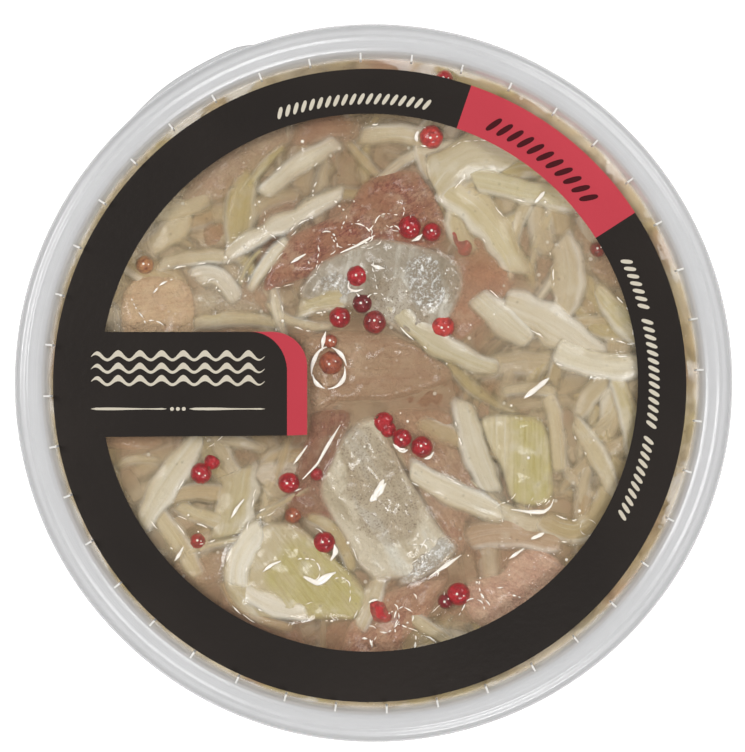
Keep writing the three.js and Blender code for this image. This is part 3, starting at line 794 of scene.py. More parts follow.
# Whole peppercorns: place, radius, height of the centre, tone
RED, DARK, DULL, LIGHT, BROWN = (184, 16, 34), (128, 14, 26), (160, 44, 44), (208, 66, 62), (178, 96, 68)
PEPPERCORNS = [
    (10.8, 45.8, 2.2, 48.3, LIGHT), (6.7, 29, 2.2, 48.2, RED), (10.8, 28.1, 1.8, 48.2, RED),
    (-3, 19.9, 2, 48.5, RED), (-2.1, 14.8, 1.9, 48.4, DARK), (-6.3, 12.2, 2, 48.4, RED),
    (0.2, 11.3, 2.2, 48.3, DULL), (12.9, 10.5, 2.2, 48.1, LIGHT), (-8, 3.7, 2.2, 48.1, BROWN),
    (-8, 7.8, 1.3, 48.6, BROWN), (5.3, -10.3, 1.8, 48.5, RED), (9, -11.9, 2, 48.4, RED),
    (-32.1, -16.8, 2, 48.4, RED), (-15.8, -18.6, 2, 48.4, RED), (-9.2, -29.7, 2.1, 48.3, RED),
    (15.8, -39.3, 2.2, 48.2, RED), (13.4, -40.6, 1.5, 48.3, DARK),
    (-42.6, 22, 1.7, 48, (188, 134, 88)), (-32.8, -29.5, 1.5, 47.3, RED), (-10.6, -17, 1.2, 48, RED),
    (-15, -24.6, 1.6, 47.2, BROWN), (41.8, 24.9, 1.5, 47, DULL), (13.2, 56.7, 1.6, 48, RED),
]

# Broken shells of peppercorn: place, radius, height of the centre, turn of the open side in degrees
SHELLS = [(1.9, -7.4, 2.1, 48.4, -40), (-30, -14.6, 1.6, 48.4, 60), (2.6, -8.6, 1.6, 48.7, 150)]

# Torn pieces of peppercorn: outline, top, tone
TORN = [
    ([(14.4, 28.4), (15.5, 28), (16, 26.6), (17.6, 26.6), (18.4, 25.2), (17.6, 23.7), (16, 24), (15.4, 25.2),
      (14.7, 26.4)], 48.6, (178, 40, 46)),
    ([(-0.8, -41.2), (0.4, -40.4), (2, -41), (2.6, -42.4), (3.4, -43.2), (3, -44.4), (1.4, -44.6),
      (-0.2, -44)], 49.2, (190, 34, 40)),
]

# Beads and threads of brine that cling under the lid, painted white with a faint glow as painted highlights:
# the line that each follows, and its width
BEADS = [
    ([(-6.2, 24.2), (-3, 25.6), (0.3, 27.5)], 0.5),
    ([(-15.4, 22.3), (-14, 23.2), (-12.6, 24)], 0.6),
    ([(-6.2, -7.8), (-8.6, -11.7), (-10.4, -15), (-13.2, -17.9)], 0.6),
    ([(-12.3, -11.6), (-13.6, -13.4), (-14.9, -15.1)], 0.5),
    ([(25.6, -23.5), (29, -24), (31.7, -24), (33, -23), (33.5, -21.6)], 0.7),
    ([(28, -2.8), (30.3, -1), (32.6, 0.9)], 1.1),
    ([(29.3, -29), (30.5, -28.5), (31.7, -27.9)], 0.8),
    ([(25.2, -32.7), (26.6, -31.7), (28, -30.8)], 0.6),
    ([(10.4, -36), (13.5, -33.9), (16.3, -32)], 0.7),
    ([(-20.6, -35.1), (-19, -33.8), (-17.2, -33.1)], 0.6),
    ([(-37, -33.1), (-36.2, -32), (-35.4, -30.5)], 0.6),
    ([(-26.5, -25.1), (-25.4, -23.2), (-24.1, -21.6)], 0.6),
    ([(-13, -36), (-10.5, -37.3), (-8, -35.6), (-7, -35.2)], 1.3),
    ([(-7.3, -30), (-7, -31.5), (-8, -33)], 0.9),
    ([(4.5, -12.5), (5.5, -12.9), (6.4, -12.4)], 0.5),
    ([(8.3, 46.8), (7.8, 45.8), (8.1, 44.9)], 0.8),
    ([(-0.5, 22), (1, 21.4), (2.1, 21.3)], 0.7),
    ([(7.1, 26.4), (8.2, 26.8), (9.1, 27.7)], 0.7),
    ([(-4.6, 19), (-4.8, 17.6), (-3.5, 17), (-2, 17.4)], 0.5),
    ([(-9.6, 6), (-9.4, 7.8), (-8.9, 9.6)], 0.7),
    ([(30, 33.5), (31, 34.6), (31.8, 35.6)], 0.8),
    ([(37.8, 35.2), (39, 35.7), (40.2, 36.1)], 0.6),
    ([(48.2, 9), (48.8, 10.4), (49.2, 11.6)], 0.9),
    ([(-0.6, -22), (-0.1, -21.4), (0.7, -20.9)], 1.3),
    ([(0, -21.2), (0.9, -19.7), (1.9, -17.9)], 1.1),
    ([(0.7, -21.2), (1.5, -19.8), (2.3, -18.6)], 0.9),
    ([(3.6, -11.3), (4.6, -12.3), (5.9, -12.3)], 0.6),
    ([(9.4, -14.1), (10.5, -13.9), (11.2, -12.8)], 0.6),
    ([(-0.9, -40.9), (-0.3, -40.4), (0.8, -40.3)], 0.5),
]
RING_BEAD = (-8.4, 2.8, 3.1, 3.9, 0.7)  # round a peppercorn: place, two radii and width

# Zones (x, y, radius) where the wet surface breaks into many short glints, drawn as glowing white threads of
# painted highlight, and their number
GLINTS = [
    (-6, 29, 8, 26), (-12, 21, 5, 12), (1, 32, 5, 12), (-25, 21, 8, 16), (10, -42, 8, 26), (24, -38, 8, 12),
    (-12, -37, 8, 14), (-35, 12, 8, 12), (46, 8, 4, 5), (11, -33, 4, 12), (-20, 28, 6, 8), (0, -46, 5, 8),
    (-3, 17, 5, 10), (18, 44, 6, 6), (30, -26, 8, 6), (-28, -14, 8, 8), (-20, -8, 7, 6), (38, -30, 7, 6),
]


def food_tint(colour, rng, spread=0.06):
    red, green, blue = tone(*colour)
    light = 1 + rng.uniform(-spread, spread)
    return [red * light, green * light * 0.95, blue * light * (0.86 + rng.uniform(-0.6, 0.6) * spread)]


def put(data, x=0.0, y=0.0, z=0.0):
    points, *rest = data
    return points + np.array([x, y, z]), *rest


def on_wall(data, turn, height):
    """Bend a flat piece onto the inside of the wall: its x goes round, its y up and its top outwards."""
    points, *rest = data
    lowest, highest, mean_radius = FLOOR + 0.9, 47.5, 56.0
    up = np.clip(points[:, 1] + height, lowest, highest)
    radius = wall_radius(up) - WALL_GAP + np.minimum(points[:, 2], 0.1)
    angle = turn + points[:, 0] / mean_radius
    return np.column_stack([radius * np.cos(angle), radius * np.sin(angle), up]), *rest


def on_floor(data, x, y):
    """Lay a piece on the base with its top side down, as it shows from below."""
    points, faces, *rest = data
    height = FLOOR + 0.45 - np.minimum(points[:, 2], 0.1)
    laid = np.column_stack([points[:, 0] + x, points[:, 1] + y, height])
    return laid, [face[::-1] for face in faces], *rest


def place_inside(pile, data, radius, turn, top, tint, second=0.0):
    """Put a piece at a place seen from above, drawn in where it would pass the wall."""
    points, *rest = put(data, *polar(radius, turn), top)
    reach = np.hypot(points[:, 0], points[:, 1])
    room = wall_radius(points[:, 2]) - WALL_GAP
    points[:, :2] *= np.minimum(1, room / np.maximum(reach, 1))[:, None]
    pile.add(points, *rest, tint, second)


def blob(rng, long, wide, turn):
    """An uneven outline of a bite of fish."""
    count = 9
    result = []
    for i in range(count):
        a = 2 * math.pi * i / count
        reach = 1 + rng.uniform(-0.16, 0.16)
        result.append(rotated(long / 2 * math.cos(a) * reach, wide / 2 * math.sin(a) * reach, turn))
    return result


def arc_line(length, bend, turn):
    """Three places on a gentle arc through the origin."""
    return [rotated(x, y, turn) for x, y in ((-length / 2, -bend), (0, 0), (length / 2, -bend))]


def any_turn(rng):
    return rng.uniform(0, 2 * math.pi)


def any_place(rng, radius, least=0.0):
    """The radius and turn of a place in a circle."""
    return radius * math.sqrt(rng.uniform(least, 1)), any_turn(rng)


def nth_turn(rng, number, count, loose=0.3):
    """The turn of one of a number of pieces that lie round the tub about evenly."""
    return 2 * math.pi * (number + rng.uniform(-loose, loose)) / count


def build_food():
    rng = random.Random(7)
    flesh, skin, onion, pepper = Pile(), Pile(), Pile(), Pile()

    for top, tint, red, turn, outline in FLESH:
        tilt = (rng.uniform(-0.03, 0.03), rng.uniform(-0.03, 0.03))
        data = put(slab(outline, rng, tilt=tilt, rough=0.4, grooves=0.08, turn=turn), z=top)
        flesh.add(*data, food_tint(tint, rng), red)
    for top, tint, turn, spark, dusk, outline in SKIN:
        data = slab(outline, rng, thick=3.6, edge=1.8, drop=0.9, rough=0.5, step=0.7, turn=turn)
        data = put(data, z=top)
        sparks = spots(data[0], spark)
        marks = np.where(sparks > 0, sparks, -spots(data[0], dusk))
        skin.add(*data, food_tint(tint, rng), marks)
    for top, tint, dish, turn, green, outline in LAYERS:
        data = slab(outline, rng, thick=2.6, edge=1.6, drop=1.2, dish=dish, turn=turn)
        data = put(data, z=top)
        onion.add(*data, food_tint(tint, rng), spots(data[0], green))
    for *line, width, top, colour, green in ONION:
        data = put(strip(line, width, rng, rng.uniform(-0.15, 0.15)), z=top)
        along = np.linspace(0, 1, len(data[0]))
        onion.add(*data, food_tint(colour, rng), green * (0.4 + 0.9 * along))

    fill_below(rng, flesh, onion)
    fill_edge(rng, flesh, onion)
    fill_wall(rng, flesh, skin, onion, pepper)
    fill_floor(rng, flesh, skin, onion)

    for x, y, radius, height, colour in PEPPERCORNS:
        add_peppercorn(pepper, rng, (x, y, height), radius, food_tint(colour, rng, 0.08))
    for outline, top, colour in TORN:
        data = slab(outline, rng, thick=1.6, edge=1.2, drop=0.9, step=0.4, rough=0.25)
        pepper.add(*put(data, z=top), food_tint(colour, rng))
    for x, y, radius, height, open_side in SHELLS:
        add_shell(pepper, rng, (x, y, height), radius, math.radians(open_side), food_tint(RED, rng))
    return flesh, skin, onion, pepper


def add_berry(pile, rng, place, points, faces, tint):
    grain = points + rng.uniform(0, 100)
    pile.add(points + np.array(place), faces, np.ones(len(points)), grain, tint)


def add_peppercorn(pile, rng, place, radius, tint):
    """A whole peppercorn, turned over about two axes."""
    points, faces = ball(radius, rng)
    first, second = rng.uniform(0, 6.28), rng.uniform(0, 6.28)
    x, y, z = points.T
    z, x = rotated(z, x, first)
    x, y = rotated(x, y, second)
    add_berry(pile, rng, place, np.column_stack([x, y, z]), faces, tint)


def add_shell(pile, rng, place, radius, open_side, tint):
    """Half of a hollow peppercorn, open to one side: it goes from near its pole to just past its middle."""
    steps, skin = 7, 0.35
    rows = []
    for size, order in ((radius, range(steps + 1)), (radius - skin, range(steps, -1, -1))):
        rows += [polar(size, math.radians(78 - 84 * i / steps)) for i in order]
    points, faces = turned(rows, 18)
    x, y, z = np.array(points).T
    x, z = rotated(x, z, math.radians(55))
    x, y = rotated(x, y, open_side)
    add_berry(pile, rng, place, np.column_stack([x, y, z]), faces, tint)


def fill_below(rng, flesh, onion):
    """More strips and bites under the ones that show, out to the wall."""
    shown = [smooth_loop(item[-1], 2.0) for item in FLESH + SKIN + LAYERS]
    for _ in range(330):
        radius, turn = any_place(rng, 57, 0.02)
        line = arc_line(rng.uniform(12, 26), rng.uniform(0.5, 4), rng.uniform(0, math.pi))
        data = strip(line, rng.uniform(2.6, 7), rng, rng.uniform(-0.25, 0.25), fine=False)
        colour = rng.choice((PALE, CREAM, CREAM, CREAM, TAN, TAN, SHADE, GREEN))
        top = rng.uniform(45.9, 48.0)
        middle = np.array([polar(radius, turn)])
        if max(distance_to_loop(middle, loop)[0] for loop in shown) > -1.5:
            top = CORE_TOP
        place_inside(onion, data, radius, turn, top, food_tint(colour, rng, 0.08))
    for _ in range(34):
        radius, turn = any_place(rng, 55, 0.02)
        outline = blob(rng, rng.uniform(14, 22), rng.uniform(9, 14), rng.uniform(0, math.pi))
        data = slab(outline, rng, step=1.1, grooves=0.08, turn=rng.uniform(0, 180))
        colour = rng.choice(((180, 136, 110), (188, 154, 126), (172, 140, 116)))
        place_inside(flesh, data, radius, turn, rng.uniform(45.2, 46.6), food_tint(colour, rng), 0.4)


def fill_edge(rng, flesh, onion):
    """Strips and bites that lie high against the wall, all the way round."""
    count = 26
    for i in range(count):
        turn = nth_turn(rng, i, count)
        outline = blob(rng, rng.uniform(12, 17), rng.uniform(7, 9), turn + math.pi / 2)
        data = slab(outline, rng, step=1.1)
        colour = rng.choice(((190, 150, 124), (200, 168, 140), (184, 146, 120)))
        radius, top = rng.uniform(54, 57), rng.uniform(46.6, 47.6)
        place_inside(flesh, data, radius, turn, top, food_tint(colour, rng), 0.2)
    for _ in range(110):
        radius, turn = rng.uniform(52, 59), any_turn(rng)
        line = arc_line(rng.uniform(9, 20), rng.uniform(0.5, 3), turn + math.pi / 2 + rng.gauss(0, 0.5))
        data = strip(line, rng.uniform(2.6, 6), rng, rng.uniform(-0.2, 0.2), fine=False)
        colour = rng.choice((PALE, CREAM, CREAM, TAN, TAN, GREEN))
        place_inside(onion, data, radius, turn, rng.uniform(47.2, 48.5), food_tint(colour, rng, 0.08))


def fill_wall(rng, flesh, skin, onion, pepper):
    """Bites, strips and peppercorns against the clear wall."""
    silver_tones = (186, 176, 158), (170, 160, 142)
    flesh_tones = (182, 138, 112), (192, 156, 128), (172, 140, 116)
    count = 11
    for height in (8, 17, 26, 35, 42):
        for i in range(count):
            turn = nth_turn(rng, i, count)
            outline = blob(rng, rng.uniform(20, 32), rng.uniform(10, 15), rng.uniform(-0.5, 0.5))
            silver = rng.random() < 0.4
            data = slab(outline, rng, thick=3.5, step=1.2, edge=2.6, grooves=0.0 if silver else 0.15)
            data = put(data, z=-rng.uniform(0.1, 2.2))
            data = on_wall(data, turn, height + rng.uniform(-2.5, 2.5))
            colour = food_tint(rng.choice(silver_tones if silver else flesh_tones), rng)
            (skin if silver else flesh).add(*data, colour, 0.15 if silver else 0.4)
    for _ in range(95):
        line = arc_line(rng.uniform(12, 26), rng.uniform(0.5, 5), rng.uniform(-1.2, 1.2))
        data = strip(line, rng.uniform(2.2, 5.5), rng, rng.uniform(-0.15, 0.15), fine=False)
        data = put(data, z=-rng.uniform(-0.3, 0.8))
        data = on_wall(data, any_turn(rng), rng.uniform(5, 45))
        onion.add(*data, food_tint(rng.choice((PALE, CREAM, CREAM, TAN, GREEN)), rng))
    for _ in range(16):
        height, turn = rng.uniform(7, 44), any_turn(rng)
        place = (*polar(float(wall_radius(height)) - 2.2, turn), height)
        size, colour = rng.uniform(1.7, 2.1), rng.choice((RED, RED, DULL))
        add_peppercorn(pepper, rng, place, size, food_tint(colour, rng))


def fill_floor(rng, flesh, skin, onion):
    """Bites and strips that show through the clear base."""
    for ring, count in ((0, 1), (19, 6), (39, 12)):
        for i in range(count):
            turn = nth_turn(rng, i, count, 0.2)
            outline = blob(rng, rng.uniform(20, 27), rng.uniform(12, 17), rng.uniform(0, math.pi))
            silver = rng.random() < 0.35
            data = slab(outline, rng, thick=3.5, step=1.2)
            data = put(data, z=-rng.uniform(0.1, 1.8))
            data = on_floor(data, *polar(ring, turn))
            colour = (180, 170, 152) if silver else rng.choice(((182, 138, 112), (190, 154, 126)))
            (skin if silver else flesh).add(*data, food_tint(colour, rng), 0.3)
    for _ in range(34):
        radius, turn = any_place(rng, 42)
        line = arc_line(rng.uniform(12, 20), rng.uniform(0.5, 4), rng.uniform(0, math.pi))
        data = put(strip(line, rng.uniform(2.5, 5.5), rng, fine=False), z=-rng.uniform(-0.3, 0.6))
        data = on_floor(data, *polar(radius, turn))
        onion.add(*data, food_tint(rng.choice((PALE, CREAM, TAN, GREEN)), rng))


# The core that carries the pieces, and the brine round them

def build_core():
    rng = random.Random(3)
    foot = FLOOR + 1.6
    profile = [(0, foot), (48.6, foot), (55.6, SHOULDER), (57, 45.2), (52, CORE_TOP), (0, CORE_TOP)]
    points, faces = turned(soften(profile, 1.2), 120)
    points = np.array(points)
    swell = waves(rng, 9.0, 0.5)
    turn = np.arctan2(points[:, 1], points[:, 0]) * 30
    points[:, :2] *= (1 + swell(turn, points[:, 2]) * 0.008)[:, None]
    make_object("heap_core", points, faces, core_paint(), "herring", ["herring_heap"])


GRID_STEP, GRID_REACH = 0.5, 65  # of the square grids that describe what is seen from above


def face_samples(pile):
    """Places spread over the faces of a pile near the top of the tub, with their colours."""
    points, tints = pile.all_points(), np.vstack(pile.tints)[:, :3]
    lowest = 44
    in_square = [((i + 0.5) / 6, (j + 0.5) / 6) for i in range(6) for j in range(6)]
    in_triangle = ((0.33, 0.33), (0.6, 0.2), (0.2, 0.6), (0.2, 0.2), (0.8, 0.1), (0.1, 0.8), (0.1, 0.1))
    places, colours = [], []
    for corners, shares in ((4, in_square), (3, in_triangle)):
        chosen = [face for face in pile.faces if len(face) == corners and points[face[0], 2] > lowest]
        faces = np.array(chosen)
        a, b, c, *fourth = (points[faces[:, k]] for k in range(corners))
        for u, v in shares:
            if fourth:
                places.append((1 - u) * (1 - v) * a + u * (1 - v) * b + u * v * c + (1 - u) * v * fourth[0])
            else:
                places.append(a * (1 - u - v) + b * u + c * v)
            colours.append(tints[faces[:, 0]])
    return np.vstack(places), np.vstack(colours)


def blurred(grid, times):
    for _ in range(times):
        for axis in (0, 1):
            grid = 0.25 * np.roll(grid, 1, axis) + 0.5 * grid + 0.25 * np.roll(grid, -1, axis)
    return grid


def seen_from_above(piles):
    """The highest food at each place, and its colour blurred as cloudy brine blurs it."""
    size = int(2 * GRID_REACH / GRID_STEP)
    samples = [face_samples(pile) for pile in piles]
    places, colours = (np.vstack([sample[k] for sample in samples]) for k in (0, 1))
    order = np.argsort(places[:, 2], kind="stable")
    places, colours = places[order], colours[order]
    column, row = np.clip(((places[:, :2] + GRID_REACH) / GRID_STEP).astype(int), 0, size - 1).T
    bare = 45.0  # the height where no food is found
    grid = np.full((size, size), bare)
    np.maximum.at(grid, (row, column), places[:, 2])
    colour, known = np.zeros((size, size, 3)), np.full((size, size), 1e-4)
    colour[row, column] = colours
    known[row, column] = 1
    times = 30
    spread = blurred(known, times)
    return grid, np.stack([blurred(colour[:, :, k], times) / spread for k in range(3)], axis=2)


def sample(grid, x, y):
    """The value of a grid at a place, between its four nearest."""
    u, v = (x + GRID_REACH) / GRID_STEP - 0.5, (y + GRID_REACH) / GRID_STEP - 0.5
    i, j = int(u), int(v)
    a, b = u - i, v - j
    return ((grid[j, i] * (1 - a) + grid[j, i + 1] * a) * (1 - b)
            + (grid[j + 1, i] * (1 - a) + grid[j + 1, i + 1] * a) * b)


def brine_surface(piles):
    """Points of the brine's surface, ring by ring, with cloudiness and a tint that holds painted shade and
    light, and the grid of its height.
    """
    rng = random.Random(5)
    food, under = seen_from_above(piles)
    over = blurred(food, 3) + 0.12
    sharpness = 3  # of the bend where the level brine meets the film
    film = np.logaddexp(over * sharpness, BRINE_LEVEL * sharpness) / sharpness
    film = np.minimum(film, PIECE_LIMIT + 0.3)
    reach = range(-2, 3)  # a round patch of the grid, corners left off
    near = [(i, j) for i in reach for j in reach if abs(i * j) < 4]
    low = np.minimum.reduce([np.roll(food, shift, (0, 1)) for shift in near])
    depth = blurred(np.maximum(film - low, 0), 3)
    inside = float(wall_radius(BRINE_LEVEL)) + BRINE_OVERLAP
    ripple = waves(rng, 6.0, 0.05)
    points, cloud, tints = [], [], []
    for i in range(BRINE_RINGS + 1):
        radius = inside * i / BRINE_RINGS
        for k in range(BRINE_SIDES if i else 1):
            x, y = polar(radius, 2 * math.pi * k / BRINE_SIDES)
            points.append((x, y, float(sample(film, x, y)) + float(ripple(x, y))))
            sunk = max(float(sample(depth, x, y)) - 0.8, 0)  # brine over the food beyond a thin film
            gap = min(sunk / 3, 1)
            shore = min(max((radius - 56.5) / 2, 0), 1)  # it is cloudy along the wall, and its tint is painted lighter there against the shade of the print and the plastic
            side = min(max((abs(x) - 16) / 20, 0), 1)  # the tint is also painted a little lighter to the left and right, with less painted shade in the gaps
            # Painted shade: the tint darkens where the brine lies deep over the food between pieces, less so
            # along the wall and to the sides
            shade = 1 - np.array([0.5, 0.6, 0.67]) * gap * (1 - shore) * (1 - 0.35 * side)
            light = 0.86 + 0.2 * shore + 0.14 * side * (1 - shore)
            tints.append((*np.minimum(sample(under, x, y) * light * shade, 0.9), 1))
            veil = max(0.03 + 0.66 * (1 - math.exp(-sunk / 1.5)), 0.6 * shore)
            to_berry = min(math.dist((x, y), berry[:2]) - berry[2] for berry in PEPPERCORNS)
            cloud.append(veil * min(1, max(0.25, (to_berry + 0.4) / 0.8)))
    return points, cloud, tints, film


def build_brine(piles):
    """Brine from the base up: its surface is a wet film over the food and stands higher between pieces."""
    points, cloud, tints, film = brine_surface(piles)
    sides = BRINE_SIDES
    faces = [(0, 1 + k, 1 + (k + 1) % sides) for k in range(sides)]
    for i in range(1, BRINE_RINGS):
        faces += band(1 + (i - 1) * sides, 1 + i * sides, sides)
    base = FLOOR - BRINE_OVERLAP
    for height in (STEP_TOP, SHOULDER, 30, 15, base):
        radius = float(wall_radius(height)) + BRINE_OVERLAP
        faces += band(len(points) - sides, len(points), sides)
        points += [(*polar(radius, 2 * math.pi * k / sides), height) for k in range(sides)]
    last = len(points)
    faces += [(last - sides + k, last, last - sides + (k + 1) % sides) for k in range(sides)]
    points.append((0, 0, base))
    below, side_veil, side_tint = len(points) - len(cloud), 0.16, (*tone(200, 176, 138), 1)
    cloud += [side_veil] * below
    tints += [side_tint] * below
    mask = np.column_stack([cloud, np.zeros((len(points), 2))])
    brine = make_object("brine", points, faces, brine_paint(), "brine", [],
                        {"mask": ("FLOAT_VECTOR", mask), "tint": ("FLOAT_COLOR", tints)})
    brine.visible_shadow = False  # the cloudy brine scatters light on, it casts no shadow
    return lambda x, y: float(sample(film, x, y))


def thread(line, width, film):
    """A rounded bead of brine along a line, sitting on the film, which the bead paint shows as a painted
    highlight.
    """
    line = np.array(line, float)
    gaps = np.linalg.norm(np.diff(line, axis=0), axis=1)
    along = np.concatenate([[0], np.cumsum(gaps)])
    steps = max(6, int(along[-1] / 0.3))
    places = np.linspace(0, along[-1], steps + 1)
    path = np.stack([np.interp(places, along, line[:, k]) for k in (0, 1)], axis=1)
    for _ in range(3):
        path[1:-1] = 0.25 * path[:-2] + 0.5 * path[1:-1] + 0.25 * path[2:]
    tangent = np.gradient(path, axis=0)
    tangent /= np.linalg.norm(tangent, axis=1, keepdims=True)
    normal = np.column_stack([-tangent[:, 1], tangent[:, 0]])
    sides = 10
    turn = np.linspace(0, 2 * math.pi, sides, endpoint=False)
    points = []
    for i in range(steps + 1):
        t = i / steps
        swell = 0.2 + 0.8 * math.sin(math.pi * min(max(t, 0.02), 0.98))
        half = width / 2 * swell * (1 + 0.2 * math.sin(9 * t + width * 40))
        side = path[i] + normal[i] * (np.cos(turn) * half)[:, None]
        height = film(*path[i]) + 0.05 + np.sin(turn) * min(half, 0.3) * 0.7
        points.append(np.column_stack([side, height]))
    return np.vstack(points), tube(steps, sides, inside_out=True)


def glints(rng, film, x, y, radius, count):
    """Crooked chains of short threads of painted highlight, somewhere in a round zone."""
    found = []
    while len(found) < count:
        spot = np.array([x, y]) + polar(*any_place(rng, radius))
        heading, bend = rng.gauss(0.7, 0.8), rng.uniform(-0.5, 0.5)
        broad = rng.uniform(0.1, 0.32)
        for _ in range(rng.choice((1, 2, 3, 5))):
            line = [spot]
            for _ in range(rng.choice((1, 1, 2, 3))):
                heading += bend + rng.uniform(-0.5, 0.5)
                spot = spot + polar(rng.uniform(0.3, 0.8), heading)
                line.append(spot)
            found.append(thread(line, broad * rng.uniform(0.6, 1.4), film))
            spot = spot + polar(rng.uniform(0.2, 0.7), heading)
    return found


def edge_glints(rng, film, line, width):
    """Short threads of painted highlight where brine hangs on the long edges of a strip."""
    found = []
    for _ in range(rng.choice((1, 2, 3))):
        side, start = rng.choice((-1, 1)), rng.uniform(0.08, 0.8)
        path = []
        for t in np.linspace(start, min(0.95, start + rng.uniform(0.03, 0.16)), 4):
            spot, tangent = curve(line, t)
            out = side * (width / 2 * 0.72 + rng.uniform(-0.15, 0.15))
            path.append(spot + out * np.array([-tangent[1], tangent[0]]))
        found.append(thread(path, rng.uniform(0.15, 0.32), film))
    return found


# A small flattened drop of brine, which the bead paint shows as a painted highlight
def small_drop(rng, size, flat, place):
    points, faces = ball(size, rng, 6, 8)
    return points * np.array([1, 1, flat]) + np.array(place), faces


# Beads of brine under the lid, and short threads and drops that stand for glints; all are painted white with
# a faint glow, as painted highlights
def build_beads(film):
    rng = random.Random(9)
    beads = [thread(line, width, film) for line, width in BEADS]
    x, y, wide, long, width = RING_BEAD
    for start, end in ((95, 205), (198, 262), (268, 372), (366, 440)):
        line = []
        for a in range(start, end, 12):
            across, up = polar(1, math.radians(a))
            line.append((x + (wide + 0.25 * math.sin(a)) * across, y + long * up))
        beads.append(thread(line, width, film))
    highest_covered = 48.25
    for *line, width, top, _, _ in ONION:
        if top > highest_covered:
            beads += edge_glints(rng, film, line, width)
    for zone in GLINTS:
        beads += glints(rng, film, *zone)
    smallest = 1.2  # of the peppercorns that show highlights
    # Two small drops on each larger peppercorn are painted highlights
    for x, y, radius, height, _ in PEPPERCORNS:
        if radius > smallest:
            for away, size, turns in ((0.15, 0.25, (1.6, 4.2)), (0.45, 0.15, (-0.5, 0.8))):
                across, up = polar(away * radius, rng.uniform(*turns))
                top = min(height + radius * math.sqrt(1 - away ** 2), PIECE_LIMIT + 0.1)
                beads.append(small_drop(rng, size, 0.4, (x + across, y + up, top)))
    # Tiny drops scattered on the film, shown as painted highlights
    for _ in range(35):
        place = polar(*any_place(rng, 49))
        beads.append(small_drop(rng, rng.uniform(0.12, 0.32), 0.5, (*place, film(*place))))
    points, faces = gathered(beads)
    points = np.array(points)
    points[:, 2] = np.minimum(points[:, 2], PANEL_UNDER - 0.02)
    make_object("brine_beads_and_highlights", points, faces, bead_paint(), "brine", [])


# The tub and the lid

def build_tub():
    inner = [(62.1, TUB_TOP), (60.9, STEP_TOP), (58.2, SHOULDER), (51.4, 2.9), (50.8, FLOOR), (0, FLOOR)]
    outer = [(0, 1.4), (48.8, 1.4), (49.4, 0), (51.2, 0), (52.2, 0.9), (59.1, 42.6), (61.7, 44.2),
             (62.7, 53.4), (64.4, 53.4), (64.5, 50.6), (65.25, 50.6), (65.25, 54.2), (64.85, TUB_TOP)]
    points, faces = turned(soften(outer + inner, 0.25))
    paint = plastic_paint("tub_paint", 0.2, 0.5, 0.0605, 0.0625, tone(214, 214, 212))
    shell = make_object("tub_shell", points, faces, paint, "tub_plastic", ["tub"], sharp=50)
    shell.visible_shadow = False  # thin clear plastic lets the light through


def rib(turn):
    """One short upright rib in the wall of the recess."""
    half, foot, shoulder, top = 0.21, PANEL_TOP + 0.1, 54.9, 55.6
    inner, outer = 59.55, 61.05
    lean = 0.25  # the wall of the recess leans outwards
    corners = [(inner, -half, foot), (outer, -half, foot), (outer, half, foot), (inner, half, foot)]
    half *= 0.8
    corners += [(inner + lean, -half, shoulder), (outer, -half, top), (outer, half, top),
                (inner + lean, half, shoulder)]
    points = [(*rotated(x, y, turn), z) for x, y, z in corners]
    return points, [(0, 3, 2, 1), (4, 5, 6, 7), (0, 1, 5, 4), (1, 2, 6, 5), (2, 3, 7, 6), (3, 0, 4, 7)]


def lip():
    """The crescent at the foot of the skirt that a thumb lifts."""
    points = []
    steps = 40
    inner = 65.9
    for i in range(steps + 1):
        angle = 106 + 35 * i / steps
        up = float(np.interp(angle, [106, 113, 123, 141], [0, 1, 1, 0]))
        out = 66.2 + 1.4 * up * up * (3 - 2 * up)
        section = ((inner, 0), (out, 0), (out + 0.02, 0.5), (out, 1.1), (inner, 1.1))
        points += [(*polar(radius, math.radians(angle)), LID_FOOT + rise) for radius, rise in section]
    return points, [face[::-1] for face in tube(steps, 5, inside_out=True)]


def build_lid():
    under = [(0, PANEL_UNDER), (60, PANEL_UNDER), (60.3, 50.9), (61.6, 54.7), (62.1, 54.95), (65.2, 54.95),
             (65.6, 54.45), (65.7, LID_FOOT)]
    over = [(66.5, LID_FOOT), (66.4, 54.55), (66, 55.35), (65.2, 55.75), (64.4, 55.75), (63.9, 56),
            (63.4, 55.75), (62.1, 55.75), (61.3, 55.55), (60.8, 54.95), (59.6, PANEL_TOP), (0, PANEL_TOP)]
    count, first = 40, 2.3
    ribs = gathered([rib(math.radians(first + 360 / count * i)) for i in range(count)])
    make_object("lid_ribs", *ribs, rib_paint(), "lid_plastic", [], sharp=30)
    # The last colour is painted light for the wall of the recess
    paint = plastic_paint("lid_paint", 0.012, 0.74, 0.0596, 0.0608, tone(212, 212, 213), tone(246, 241, 234))
    shell = gathered([turned(soften(under + over, 0.22)), lip()])
    lid = make_object("lid_shell", *shell, paint, "lid_plastic", ["lid"], sharp=40)
    lid.visible_shadow = False  # as the tub


# The print on the panel

PRINT_CENTRE = (-0.83, -0.18)
OUTER = (-0.72, -0.45, 58.75)  # circles: centre and radius
INNER = (-0.87, 0.07, 49.9)
RED_FROM, RED_TO = 32.8, 71.1  # the red part of the ring, in degrees
INK = PANEL_TOP + 0.12


def ray_end(angle, circle):
    """Where a ray from the middle of the print meets a circle."""
    x, y = PRINT_CENTRE[0] - circle[0], PRINT_CENTRE[1] - circle[1]
    dx, dy = math.cos(angle), math.sin(angle)
    along = x * dx + y * dy
    length = -along + math.sqrt(along * along - (x * x + y * y - circle[2] ** 2))
    return PRINT_CENTRE[0] + dx * length, PRINT_CENTRE[1] + dy * length


